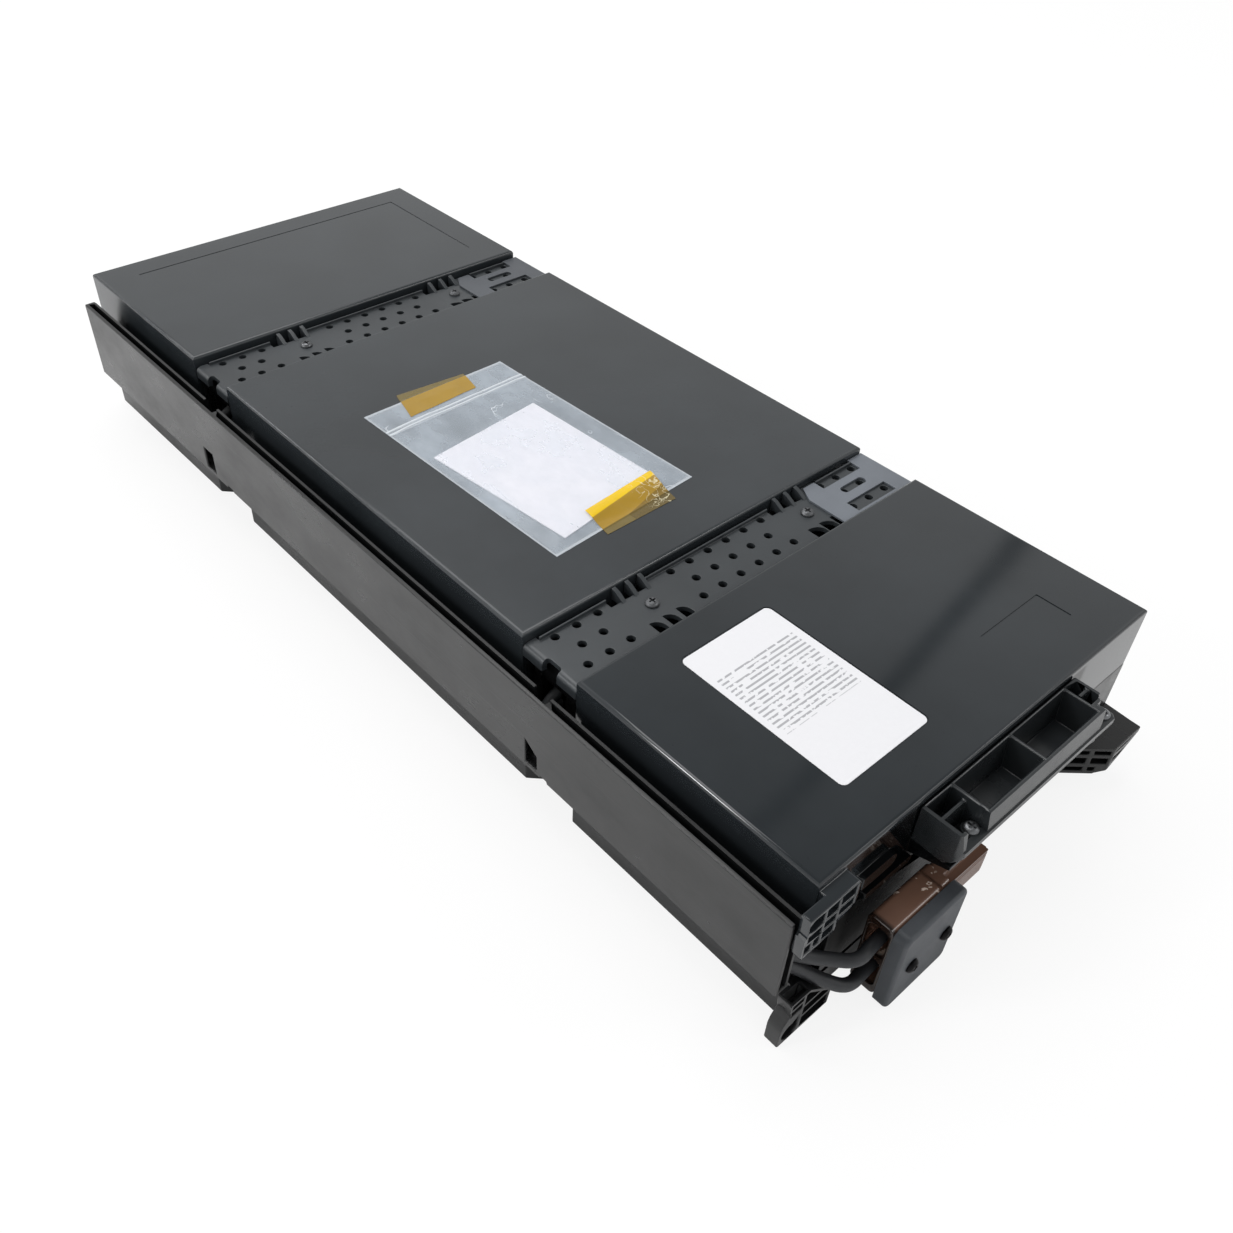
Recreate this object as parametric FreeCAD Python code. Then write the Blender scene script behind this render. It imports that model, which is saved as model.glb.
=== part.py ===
import FreeCAD, Part
import math
import os

os.makedirs("parts", exist_ok=True)
V = FreeCAD.Vector

# Battery cartridge: eight sealed blocks lying in a long tray under three lids.  Millimetres.
# Model frame: X = 0 on the lids' middle, Y = 0 on the front wall, Z = 0 on the floor, +Y to the rear.

# ---- driving dimensions ----
HEIGHT = 75.0            # floor to lid tops
COVER_W = 188.0          # width of the lids
TRAY_STEP = 1.0          # the tray stands out this far beyond the lid on each side and at the rear
LID_H = 28.5             # lid tops down to where the lids' skirts meet the tray
WALL = 2.0               # tray wall
SKIN = 2.2               # lid wall
FLOOR = 2.2              # tray floor
EDGE_R = 1.6             # rolled edge round each lid
LIP_DEPTH = 8.6          # end lips of the lids hang this far down

BLOCK_LEN = 101.0        # one 12 V block lying on its side, front to rear
BLOCK_SIDE = 2.25        # clearance from a block to the tray's side wall
BLOCK_GAP = 1.5          # between the left and right blocks
BLOCK_SEAT = 0.4         # blocks above the tray floor
HEADROOM = 0.2           # blocks to the underside of the lids
BLOCK_R = 1.5
ROOM_FRONT = 4.4         # front wall to the first row of blocks
ROOM_LIP = 2.3           # first row to the rear edge of the front lid
ROOM_MIDDLE = 3.9        # the middle lid reaches this far past its two rows
ROW_GAP = 2.0            # between the middle lid's two rows
ROOM_REAR = 3.3          # front edge of the rear lid to the last row
ROOM_BACK = 3.6          # last row to the rear edge of the rear lid
ZONE_FRONT = 29.3        # terminal zone between the front and middle lids
ZONE_REAR = 30.9         # terminal zone between the middle and rear lids
TAB = (6.35, 6.5, 0.8)   # terminal tab: width, length, thickness
TAB_DROP = 14.4          # tabs lie this far under the blocks' tops
TAB_OFF = 32.0           # tab centre from the block's middle
FOAM_EDGE = 12.0         # foam strips stop this far from a block's ends

WAIST = 5.0              # the side walls step in this far under the terminal covers
WAIST_LAPS = ((0.7, 2.0), (1.8, 0.7))   # each waist starts and ends this far before the zone does
STRIP_DROP = 4.2         # terminal covers lie this far below the lid tops
STRIP_T = 2.2
STRIP_GAP = 0.2          # clearance at each long edge of the front terminal cover
STRIP_SHIFT = 0.4        # the rear terminal cover lies this much further back in its zone
STRIP_OVER = 0.2         # terminal covers' left edge stands out past the lids
RISER_IN = 0.8           # clearance from the waists' raised walls to the covers' rolled edge
FLANGE_H = 5.3           # height of the terminal covers' rolled left edge
BRACKET_W = 44.6         # sheet bracket over the cover's right end, from the tray's side inwards
SCREW_OFF = 6.7          # terminal covers' screws inward of the sheet brackets
SCREW_IN = 15.7          # terminal covers' screws behind the lid in front of them

RACE_W = 11.0            # wire raceway's outer face from the tray's side
RACE_UP = 20.5           # its top above the lids' parting line
RACE_DOWN = 17.5         # its underside below the parting line
RACE_AHEAD = 1.5         # it starts this far before the front wall
RACE_SHORT = 14.6        # and stops this far before the rear wall
RACE_T = 1.6
RACE_FLOOR = 1.8
RIB_OFF = 5.7            # inner rib of the raceway from the tray's side
RIB_T = 1.2

LEAD_D = 4.8
HEAD_D = 5.6
HEAD_H = 1.8
SHANK_D = 2.8
BORE_D = 2.9
HOLE_D = 3.4

LABEL = (-60.2, -15.5, 19.1, 92.3)
LABEL_T = 0.2
LABEL_SINK = 0.25
LINE_W = 0.7             # engraved lines on the lids
LINE_D = 0.3

BAG = ((-60.5, 288.6), (-56.8, 162.5), (20.3, 167.2), (15.2, 290.0))
BAG_FULL = ((-58.8, 267.0), (-55.8, 163.6), (19.2, 168.2), (15.4, 269.0))
ZIP = ((-59.7, 269.4), (-59.7, 272.2), (15.8, 274.6), (15.9, 271.8))
BAG_H = 2.4
BAG_EDGE = 0.5
HUMP_RUN = 5.0           # the pouch's sides slope over this width
FILM = 0.15
LEAFLET = ((-55.0, 244.6), (-47.3, 168.9), (8.3, 177.0), (4.3, 252.0))
TAPE_T = 0.2
TAPES = {
    "tape_rear": [(-39.5, 295.0), (-4.8, 291.9), (-7.5, 278.5), (-44.6, 276.0)],
    "tape_front": [(-30.7, 176.3), (8.3, 180.0), (4.5, 160.7), (-32.6, 160.5)],
}

# ---- derived ----
LID_X = COVER_W / 2
TRAY_X = LID_X + TRAY_STEP
PART_Z = HEIGHT - LID_H
LID_FRONT = (0.0, ROOM_FRONT + BLOCK_LEN + ROOM_LIP)
MIDDLE_Y = LID_FRONT[1] + ZONE_FRONT
LID_MIDDLE = (MIDDLE_Y, MIDDLE_Y + 2 * (ROOM_MIDDLE + BLOCK_LEN) + ROW_GAP)
REAR_Y = LID_MIDDLE[1] + ZONE_REAR
LID_REAR = (REAR_Y, REAR_Y + ROOM_REAR + BLOCK_LEN + ROOM_BACK)
TRAY_LEN = LID_REAR[1] + TRAY_STEP
ZONES = ((LID_FRONT[1], LID_MIDDLE[0]), (LID_MIDDLE[1], LID_REAR[0]))
WAISTS = tuple((z[0] - lap[0], z[1] - lap[1]) for z, lap in zip(ZONES, WAIST_LAPS))

BLOCK_Z = FLOOR + BLOCK_SEAT
BLOCK = (TRAY_X - WALL - BLOCK_SIDE - BLOCK_GAP / 2, BLOCK_LEN, HEIGHT - SKIN - HEADROOM - BLOCK_Z)
ROW_2 = LID_MIDDLE[0] + ROOM_MIDDLE
BLOCK_Y = (ROOM_FRONT, ROW_2, ROW_2 + BLOCK_LEN + ROW_GAP, LID_REAR[0] + ROOM_REAR)
TAB_Z = BLOCK_Z + BLOCK[2] - TAB_DROP

STRIP_Z = HEIGHT - STRIP_DROP
STRIP_Y = (ZONES[0][0] + STRIP_GAP, ZONES[0][1] - STRIP_GAP)
STRIP_SHIFTS = (0.0, ZONES[1][0] - ZONES[0][0] + STRIP_SHIFT)
STRIP_SIDE = LID_X + STRIP_OVER
SCREW_X = TRAY_X - BRACKET_W - SCREW_OFF
FLANGE_Z = STRIP_Z - FLANGE_H
RISER_X = STRIP_SIDE - SKIN - RISER_IN
SCREW_Y = ZONES[0][0] + SCREW_IN

RACE_OUT = TRAY_X + RACE_W
RACE_Z = (PART_Z - RACE_DOWN, PART_Z + RACE_UP)
RACE_Y = (-RACE_AHEAD, TRAY_LEN - RACE_SHORT)
RIB_X = (TRAY_X + RIB_OFF, TRAY_X + RIB_OFF + RIB_T)


# ---- shape helpers ----
def prism(points, axis, a, b):
    """A polygon in the plane across an axis, drawn out along the axis from a to b."""
    place = {"x": lambda p: V(a, p[0], p[1]),
             "y": lambda p: V(p[0], a, p[1]),
             "z": lambda p: V(p[0], p[1], a)}[axis]
    way = {"x": V(b - a, 0, 0), "y": V(0, b - a, 0), "z": V(0, 0, b - a)}[axis]
    pts = [place(p) for p in points]
    return Part.Face(Part.makePolygon(pts + pts[:1])).extrude(way)


def span(x, y, z):
    """The space between two X, two Y and two Z values."""
    return Part.makeBox(x[1] - x[0], y[1] - y[0], z[1] - z[0], V(x[0], y[0], z[0]))


def rounded(x, y, z, r, axis="z"):
    """A block with its four edges along one axis rounded."""
    box = span(x, y, z)
    way = {"x": 0, "y": 1, "z": 2}[axis]
    edges = []
    for e in box.Edges:
        d = e.tangentAt(e.FirstParameter)
        if abs((d.x, d.y, d.z)[way]) > 0.99:
            edges.append(e)
    return box.makeFillet(r, edges)


def disc(x, y, z, d, h, axis=V(0, 0, 1)):
    return Part.makeCylinder(d / 2, h, V(x, y, z), axis)


def join(parts):
    whole = parts[0].multiFuse(parts[1:]) if len(parts) > 1 else parts[0]
    return whole.removeSplitter()


def carve(shape, tools):
    return shape.cut(tools)


def inset_loop(points, d):
    """A convex loop moved in by d on every side."""
    n = len(points)
    ring = [(points[i], points[(i + 1) % n]) for i in range(n)]
    area = sum(a[0] * b[1] - b[0] * a[1] for a, b in ring)
    s = 1 if area > 0 else -1
    lines = []
    for i in range(n):
        (x0, y0), (x1, y1) = points[i], points[(i + 1) % n]
        length = math.hypot(x1 - x0, y1 - y0)
        nx, ny = -s * (y1 - y0) / length, s * (x1 - x0) / length
        lines.append((x0 + nx * d, y0 + ny * d, x1 - x0, y1 - y0))
    out = []
    for i in range(n):
        x0, y0, dx0, dy0 = lines[i - 1]
        x1, y1, dx1, dy1 = lines[i]
        t = ((x1 - x0) * dy1 - (y1 - y0) * dx1) / (dx0 * dy1 - dy0 * dx1)
        out.append((x0 + t * dx0, y0 + t * dy0))
    return out


NODES = {}


def keep(name, shapes):
    NODES[name] = shapes if isinstance(shapes, list) else [shapes]


# ---- screws ----
def pan_screw(x, y, z, head_d, head_h, shank_d, length, out=V(0, 0, 1)):
    """Pan head with a cross recess, seated at (x, y, z); out is the way the head faces."""
    r = head_d / 2
    arc = Part.Arc(V(r, 0, head_h * 0.35), V(r * 0.78, 0, head_h * 0.8), V(r * 0.42, 0, head_h)).toShape()
    lines = Part.makePolygon([V(r * 0.42, 0, head_h), V(0, 0, head_h), V(0, 0, -length),
                              V(shank_d * 0.2, 0, -length), V(shank_d / 2, 0, -length + shank_d * 0.8),
                              V(shank_d / 2, 0, 0), V(r, 0, 0), V(r, 0, head_h * 0.35)])
    body = Part.Face(Part.Wire([arc] + lines.Edges)).revolve(V(0, 0, 0), V(0, 0, 1), 360)
    a, b = r * 0.55, r * 0.14
    slots = [span((-a, a), (-b, b), (head_h * 0.45, head_h + 1)),
             span((-b, b), (-a, a), (head_h * 0.45, head_h + 1))]
    screw = carve(body, slots)
    screw.Placement = FreeCAD.Placement(V(x, y, z), FreeCAD.Rotation(V(0, 0, 1), out))
    return screw


# ---- cords: straight runs joined by tangent arcs ----
def cord(name, points, d):
    pts = [V(*p) for p in points]
    runs = [pts[i + 1] - pts[i] for i in range(len(pts) - 1)]
    edges, last, length, radii = [], pts[0], 0.0, []
    for i in range(1, len(pts) - 1):
        a, b = V(runs[i - 1]), V(runs[i])
        short = min(a.Length, b.Length)
        a.normalize()
        b.normalize()
        turn = a.getAngle(b)
        cut = 0.45 * short
        radius = cut / math.tan(turn / 2)
        radii.append(radius)
        p0, p1 = pts[i] - a * cut, pts[i] + b * cut
        inward = b - a
        inward.normalize()
        centre = pts[i] + inward * (radius / math.cos(turn / 2))
        mid = centre - inward * radius
        edges.append(Part.makeLine(last, p0))
        edges.append(Part.Arc(p0, mid, p1).toShape())
        length += (p0 - last).Length + radius * turn
        last = p1
    edges.append(Part.makeLine(last, pts[-1]))
    length += (pts[-1] - last).Length
    ring = Part.Wire(Part.makeCircle(d / 2, pts[0], runs[0]))
    tube = Part.Wire(edges).makePipeShell([ring], True, False)
    if tube.Volume < 0:
        tube.reverse()
    want = math.pi * d * d / 4 * length
    print("%s: length %.1f, radii %s, volume %.1f against %.1f"
          % (name, length, " ".join("%.1f" % r for r in radii), tube.Volume, want))
    return tube


# ---- base tray with the raceway and the lower ears ----
def tray_loop(inset):
    """Plan outline of the tray, moved in by inset, narrowed in both waists."""
    wide, narrow = TRAY_X - inset, TRAY_X - WAIST - inset
    k = inset * (math.sqrt(2) - 1)
    right = [(wide, inset)]
    for a, b in WAISTS:
        right += [(wide, a - k), (narrow, a + WAIST - k), (narrow, b - WAIST + k), (wide, b + k)]
    right.append((wide, TRAY_LEN - inset))
    return right + [(-x, y) for x, y in reversed(right)]


def ear_cells(columns, rows, gap, depth, face_y):
    """Blind cells between ribs on an ear's front face; columns and rows are the rib lines."""
    cells = []
    for x0, x1 in zip(columns[:-1], columns[1:]):
        for z0, z1 in zip(rows[:-1], rows[1:]):
            cells.append(span((x0 + gap, x1 - gap), (face_y - 1, face_y + depth), (z0 + gap, z1 - gap)))
    return cells


EAR_Y = -5.5             # front faces of both left ears
EAR_RIB = 0.6            # half the thickness of an ear's rib
EAR_D = 4.2              # depth of the ears' cells


def lower_left_ear():
    """Foot at the front left corner; X runs from the tray's left side."""
    side = [(-6.5, 23.0), (-6.2, 19.0), (-5.6, 16.2), (-6.8, 14.0), (-8.2, 12.0), (-9.0, 9.0),
            (-9.0, 0.0), (16.5, 0.0), (16.5, 8.6), (15.4, 10.5), (3.0, 22.6)]
    ear = prism(side, "y", EAR_Y, 0.4)
    cells = ear_cells((-6.0, 0.8), (13.8, 18.6, 22.4), EAR_RIB, EAR_D, EAR_Y)
    for loop in ([(1.4, 15.0), (9.4, 15.0), (2.8, 21.4), (1.4, 21.4)],
                 [(1.4, 9.0), (14.6, 9.0), (14.6, 9.8), (10.6, 13.8), (1.4, 13.8)],
                 [(1.4, 1.2), (15.3, 1.2), (15.3, 7.8), (1.4, 7.8)],
                 [(-3.6, 8.8), (0.0, 12.4), (0.2, 5.0)]):
        cells.append(prism(loop, "y", EAR_Y - 1, EAR_Y + EAR_D))
    boss = Part.makeCylinder(3.8, 1 + EAR_D, V(-3.6, EAR_Y - 1, 5.0), V(0, 1, 0))
    cells.append(join([boss, cells.pop()]))
    cells.append(span((-5.4, 2.2), (EAR_Y + 0.9, -0.8), (15.5, 24.0)))
    ear = carve(ear, cells)
    ear.translate(V(-TRAY_X, 0, 0))
    return ear


RIGHT_EAR_IN = 38.0      # inner end of the right ear from the tray's right side
RIGHT_EAR_CORNER = (20.0, 16.2)   # its front corner from the tray's side and the front wall
RIGHT_EAR_KNEE = 23.3    # the underside starts to rise this far from the tray's side
RIGHT_EAR_TOP = 24.2
RIGHT_EAR_LOW = 10.0     # underside up to the knee
RIGHT_EAR_RISE = 12.0    # the underside rises this far to the tray's side
EAR_SHELF = ((22.7, 20.8), (18.7, 15.6), (13.5, 11.4))   # top and foot of each row of cells


def lower_right_ear():
    """Foot at the front right corner, a shelf with a slanting ribbed face; X from the tray's right side."""
    inner, corner, out, front = -RIGHT_EAR_IN, -RIGHT_EAR_CORNER[0], -TRAY_STEP, -RIGHT_EAR_CORNER[1]
    plan = [(inner, 0.5), (inner, -0.2), (corner, front), (out, front), (out, 0.5)]
    side = [(inner - 1, RIGHT_EAR_TOP), (inner - 1, RIGHT_EAR_LOW), (-RIGHT_EAR_KNEE, RIGHT_EAR_LOW),
            (out + 1, RIGHT_EAR_LOW + RIGHT_EAR_RISE), (out + 1, RIGHT_EAR_TOP)]
    ear = prism(plan, "z", 0, RIGHT_EAR_TOP).common(prism(side, "y", front - 1, 1))
    # rows of cells behind the slanting face, from its front corner inwards
    turn = math.degrees(math.atan2(-0.2 - front, inner - corner)) - 180
    tools = []
    for row, (top, foot) in enumerate(EAR_SHELF):
        near = -1.2 if row < 2 else -5.0
        for a, b in ((-7.6, near), (-18.6, -9.8)):
            cell = span((a, b), (-1.0, 4.0), (foot, top))
            cell.rotate(V(0, 0, 0), V(0, 0, 1), turn)
            cell.translate(V(corner, front, 0))
            tools.append(cell)
    for (top, foot), reach in zip(EAR_SHELF, (-4.6, -10.4)):
        slit = [(corner + 1.3, foot + 0.6), (corner + 1.3, top), (reach, top), (reach - 3.4, foot + 0.6)]
        tools.append(prism(slit, "y", front - 1, front + 6))
    ear = carve(ear, tools)
    ear.translate(V(TRAY_X, 0, 0))
    return ear


OPEN_TOP = PART_Z + 4.5  # the leads' opening at the front left corner
OPEN_X = (-TRAY_X - 1.0, -TRAY_X + 15.0)


def base_tray():
    shell = prism(tray_loop(0), "z", 0, PART_Z)
    tops = STRIP_Z - STRIP_T
    parts = []
    for y0, y1 in ZONES:
        zone = span((-RISER_X, RISER_X), (y0 + 0.3, y1 - 0.3), (PART_Z - 1, tops))
        parts.append(prism(tray_loop(0), "z", PART_Z - 1, tops).common(zone))
    shell = join([shell] + parts)
    shell = carve(shell, [prism(tray_loop(WALL), "z", FLOOR, HEIGHT)])
    # raceway along the left side: outer wall, inner rib and floor in one profile
    z0, z1 = RACE_Z
    f = z0 + RACE_FLOOR
    inner = -(TRAY_X - WALL / 2)
    outer = -RACE_OUT + RACE_T
    profile = [(inner, z0), (-RACE_OUT, z0), (-RACE_OUT, z1), (outer, z1), (outer, f), (-RIB_X[1], f),
               (-RIB_X[1], z1), (-RIB_X[0], z1), (-RIB_X[0], f), (inner, f)]
    race = [prism(profile, "y", RACE_Y[0], RACE_Y[1])]
    for a, b in WAISTS:
        race.append(span((inner - 0.5, inner + WAIST), (a - 0.5, b + 0.5), (z0, f)))
    rim = [(inner, z0), (-RACE_OUT, z0), (-RACE_OUT, z1 - 1), (-RACE_OUT + 2, z1), (-RIB_X[0], z1),
           (inner, PART_Z)]
    race.append(prism(rim, "y", RACE_Y[1] - RACE_T, RACE_Y[1]))
    rear_of_front, rear_of_middle = LID_FRONT[1], LID_MIDDLE[1]
    for y in (rear_of_front + 4.7, rear_of_middle - 2.9):
        wedge = [(-RACE_OUT + 1, y - 4.9), (-RACE_OUT + 1, y), (-RIB_X[0] - 0.6, y)]
        race.append(prism(wedge, "z", PART_Z + 1.5, z1 - 0.6))
    # floor ribs that locate the rows of blocks, bosses for the terminal covers' screws
    ribs = []
    for y in (BLOCK_Y[0] + BLOCK[1] + 0.3, BLOCK_Y[1] - 1.9, BLOCK_Y[2] + BLOCK[1] + 0.3, BLOCK_Y[3] - 1.9):
        ribs.append(span((-TRAY_X + 11, TRAY_X - 11), (y, y + 1.6), (FLOOR - 0.4, 9.0)))
    for shift in STRIP_SHIFTS:
        for x in (-SCREW_X, SCREW_X):
            cone = Part.makeCone(5.2, 3.9, tops - FLOOR + 0.4, V(x, SCREW_Y + shift, FLOOR - 0.4))
            ribs.append(cone)
    whole = join([shell] + race + ribs + [lower_left_ear(), lower_right_ear()])
    cuts = []
    for shift in STRIP_SHIFTS:
        for x in (-SCREW_X, SCREW_X):
            cuts.append(disc(x, SCREW_Y + shift, tops - 22, BORE_D, 30))
        # the wires' way from the terminal zone into the raceway
        y = SCREW_Y + shift
        wall = -(TRAY_X - WAIST)
        cuts.append(span((wall - 1, wall + WALL + 1), (y - 5.4, y + 7.1), (f + 5.2, PART_Z + 10.5)))
    for y0, y1 in ((rear_of_front + 4.7, rear_of_front + 13.0), (rear_of_middle - 2.9, rear_of_middle + 8.5)):
        cuts.append(span((-RIB_X[1] - 0.4, -RIB_X[0] + 0.4), (y0, y1), (f, z1 + 1)))
    y0, y1 = rear_of_middle + 2.9, rear_of_middle + 11.2
    windows = [[(y0, f), (y1, f), (y1, f + 10.7), (y0, f + 10.7)]]
    y0, y1 = rear_of_front + 7.3, rear_of_front + 13.6
    windows.append([(y0, f), (y1, f), (y1, f + 12.2), (y0, f + 7.5)])
    for loop in windows:
        cuts.append(prism(loop, "x", -RACE_OUT - 1, -RACE_OUT + RACE_T))
    for y0, y1 in ((rear_of_front + 1.7, rear_of_front + 5.0), (rear_of_middle - 12.8, rear_of_middle - 7.8)):
        cuts.append(span((-RACE_OUT - 1, -RACE_OUT + 2.2), (y0, y1), (z0 - 1, z0 + 1.2)))
    # the front left corner is open for the leads, and the raceway floor stops short of it
    cuts.append(span(OPEN_X, (-0.6, 12.0), (24.0, PART_Z + 1)))
    cuts.append(span((-TRAY_X - 1, OPEN_X[1]), (-0.6, WALL + 0.4), (21.4, 24.5)))
    x0, x1 = -TRAY_X + 4.6, OPEN_X[1]
    cuts.append(prism([(x0, 23.5), (x0, 15.0), (x1, 15.0), (x1, 23.5)], "y", 0.41, WALL + 0.4))
    cuts.append(prism([(x0, 23.5), (x0, 21.0), (x1, 10.9), (x1, 23.5)], "y", -0.6, WALL + 0.4))
    cuts.append(span((-RIB_X[0], -TRAY_X + 1.2), (RACE_Y[0] - 1, 24.0), (z0 - 1, f + 1)))
    return carve(whole, cuts)


# ---- lids ----
def lid(y, front_wall, rear_wall):
    """A lid over one bay: rolled top edges, side skirts down to the tray, short lips at open ends."""
    outer = span((-LID_X, LID_X), y, (PART_Z, HEIGHT))
    tops = [e for e in outer.Edges if all(abs(v.Z - HEIGHT) < 0.01 for v in e.Vertexes)]
    outer = outer.makeFillet(EDGE_R, tops)
    tools = [span((-LID_X + SKIN, LID_X - SKIN), (y[0] + SKIN, y[1] - SKIN), (PART_Z - 1, HEIGHT - SKIN))]
    lip = HEIGHT - LIP_DEPTH
    for at, wall in ((y[0], front_wall), (y[1] - SKIN, rear_wall)):
        if not wall:
            tools.append(span((-LID_X + SKIN, LID_X - SKIN), (at - 1, at + SKIN + 1), (PART_Z - 1, lip)))
    return carve(outer, tools)


def upper_left_ear():
    """Ear at the lid's front left corner; X runs from the lid's left side and Z down from its top."""
    side = [(-9.4, -3.0), (-9.4, -11.8), (-10.3, -12.2), (-10.3, -21.0), (-9.4, -23.0), (6.0, -22.0),
            (6.0, -18.0), (12.6, -16.6), (14.0, -15.0), (14.0, -4.6), (12.6, -3.0)]
    ear = join([prism(side, "y", EAR_Y, RACE_Y[0] - 0.3),
                prism(side, "y", EAR_Y, 0.6).common(span((0.3, LID_X), (-9, 9), (-HEIGHT, 0)))])
    cells = ear_cells((-9.4, -1.5), (-16.0, -10.8), EAR_RIB, 3.0, EAR_Y)
    cells += ear_cells((-1.5, 5.0), (-22.0, -16.0, -10.8, -4.4), EAR_RIB, 3.0, EAR_Y)
    cells += ear_cells((5.0, 13.0), (-15.6, -10.4, -4.4), EAR_RIB, 3.0, EAR_Y)
    cells += ear_cells((-9.6, -5.5, -1.5), (-21.4, -16.0), EAR_RIB, 3.0, EAR_Y)
    boss = Part.makeCylinder(3.0, 4.0, V(-6.0, EAR_Y - 1, -7.7), V(0, 1, 0))
    tear = prism([(-6.0, -4.7), (-2.2, -4.7), (-2.2, -10.0), (-6.0, -10.5)], "y", EAR_Y - 1, EAR_Y + 3.0)
    cells.append(boss.fuse(tear).removeSplitter())
    ear = carve(ear, cells)
    ear.translate(V(-LID_X, 0, HEIGHT))
    return ear


def guard_bars():
    """Short bars on the front wall right of the upper ear; X from the lid's side, Z from its top."""
    bars = []
    for x0, x1, z0, z1, y0 in ((21.0, 38.0, -19.8, -14.0, -2.6), (24.0, 48.0, -27.6, -24.0, -3.0)):
        bar = span((x0, x1), (y0, 0.5), (z0, z1))
        tips = [e for e in bar.Edges
                if abs(e.tangentAt(e.FirstParameter).y) > 0.99 and abs(e.Vertexes[0].X - x1) < 0.01]
        bar = bar.makeFillet((z1 - z0) / 2 - 0.1, tips)
        bar.translate(V(-LID_X, 0, HEIGHT))
        bars.append(bar)
    return bars


HANDLE_X = (-45.0, 48.2)
HANDLE_BODY = 44.2        # the pockets' part stops here, short of the flange below it
HANDLE_DROP = 3.5         # handle's top below the lid's
HANDLE_H = 16.1
HANDLE_STEP = 8.2         # from the handle's top down to the flange
HANDLE_FLOOR = 1.8        # floor of the finger pockets
HANDLE_TOP = HEIGHT - HANDLE_DROP
HANDLE_BASE = HANDLE_TOP - HANDLE_H
HANDLE_LINE = HANDLE_TOP - HANDLE_STEP
POCKETS = ((-28.7, 2.4), (3.8, 35.8))
HANDLE_SCREWS = ((-33.3, -13.0), (44.3, -13.9))   # (x, y) of the two handle screws
HANDLE_SEAT = HANDLE_LINE
HANDLE_HEAD = 5.6
BOSS_D = 6.2
SHELF_H = 4.5


def engraved(points):
    """Shallow square grooves along the runs between points on a lid's top."""
    w = LINE_W / 2
    return [span((min(a[0], b[0]) - w, max(a[0], b[0]) + w), (min(a[1], b[1]) - w, max(a[1], b[1]) + w),
                 (HEIGHT - LINE_D, HEIGHT + 1)) for a, b in zip(points[:-1], points[1:])]


def cover_front():
    body = lid(LID_FRONT, True, False)
    parts = [body, upper_left_ear()] + guard_bars()
    # two shelves under the handle's ends take its screws
    for x0, x1 in ((HANDLE_X[0] + 0.5, POCKETS[0][0] - 0.8), (POCKETS[1][1] + 1.4, HANDLE_X[1] - 0.6)):
        shelf = [(0.5, HANDLE_BASE), (-15.6, HANDLE_BASE), (-15.6, HANDLE_BASE - 2.0),
                 (0.5, HANDLE_BASE - SHELF_H - 3)]
        parts.append(prism(shelf, "x", x0, x1))
    whole = join(parts)
    x0, x1, y0, y1 = LABEL
    cuts = [rounded((x0 - 0.6, x1 + 0.6), (y0 - 0.6, y1 + 0.6), (HEIGHT - LABEL_SINK, HEIGHT + 1), 3.0)]
    cuts.append(span(OPEN_X, (-0.6, 12.0), (PART_Z - 1, OPEN_TOP)))
    cuts += engraved([(LID_X - 61.4, 31.7), (LID_X - 25.9, 31.7), (LID_X - 25.9, 17.4)])
    for x, y in HANDLE_SCREWS:
        cuts.append(disc(x, y, HANDLE_BASE - 12, BORE_D, 13))
    return carve(whole, cuts)


def cover_rear():
    x0, x1, y0, y1 = -LID_X + 18.4, LID_X - 16.8, LID_REAR[0] + 17.8, LID_REAR[1] - 15.3
    return carve(lid(LID_REAR, False, True), engraved([(x0, y1), (x1, y1), (x1, y0)]))


# ---- terminal covers ----
FIN_X = (-51.1, -44.8, -38.4, 37.0, 43.8, 50.3)
FIN_T = 1.9
SNAP_X = ((-52.2, -47.6), (-45.5, -41.0), (-38.8, -34.4), (35.5, 41.9), (42.4, 48.4), (48.9, 55.1))
VENT_IN = (6.8, 15.9, 24.8)     # rows of vents behind the lid in front of them
VENT_PITCH = 10.16
VENT_D = 3.5
TROUGH = 1.7             # gap between the cover's raised lip and the lid behind it
LIP = (0.8, 1.5)         # raised lip: thickness and height
POCKET = 5.3             # openings beside the fins reach this far forward
SIDE_GROUP = 72.6
BRACKET_T = 1.0
BRACKET_SIDE = 9.8       # the bracket's side is turned down this far
BRACKET_NOTCH = (10.9, 34.9)   # notch in the bracket's rear edge, from its inner end


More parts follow.
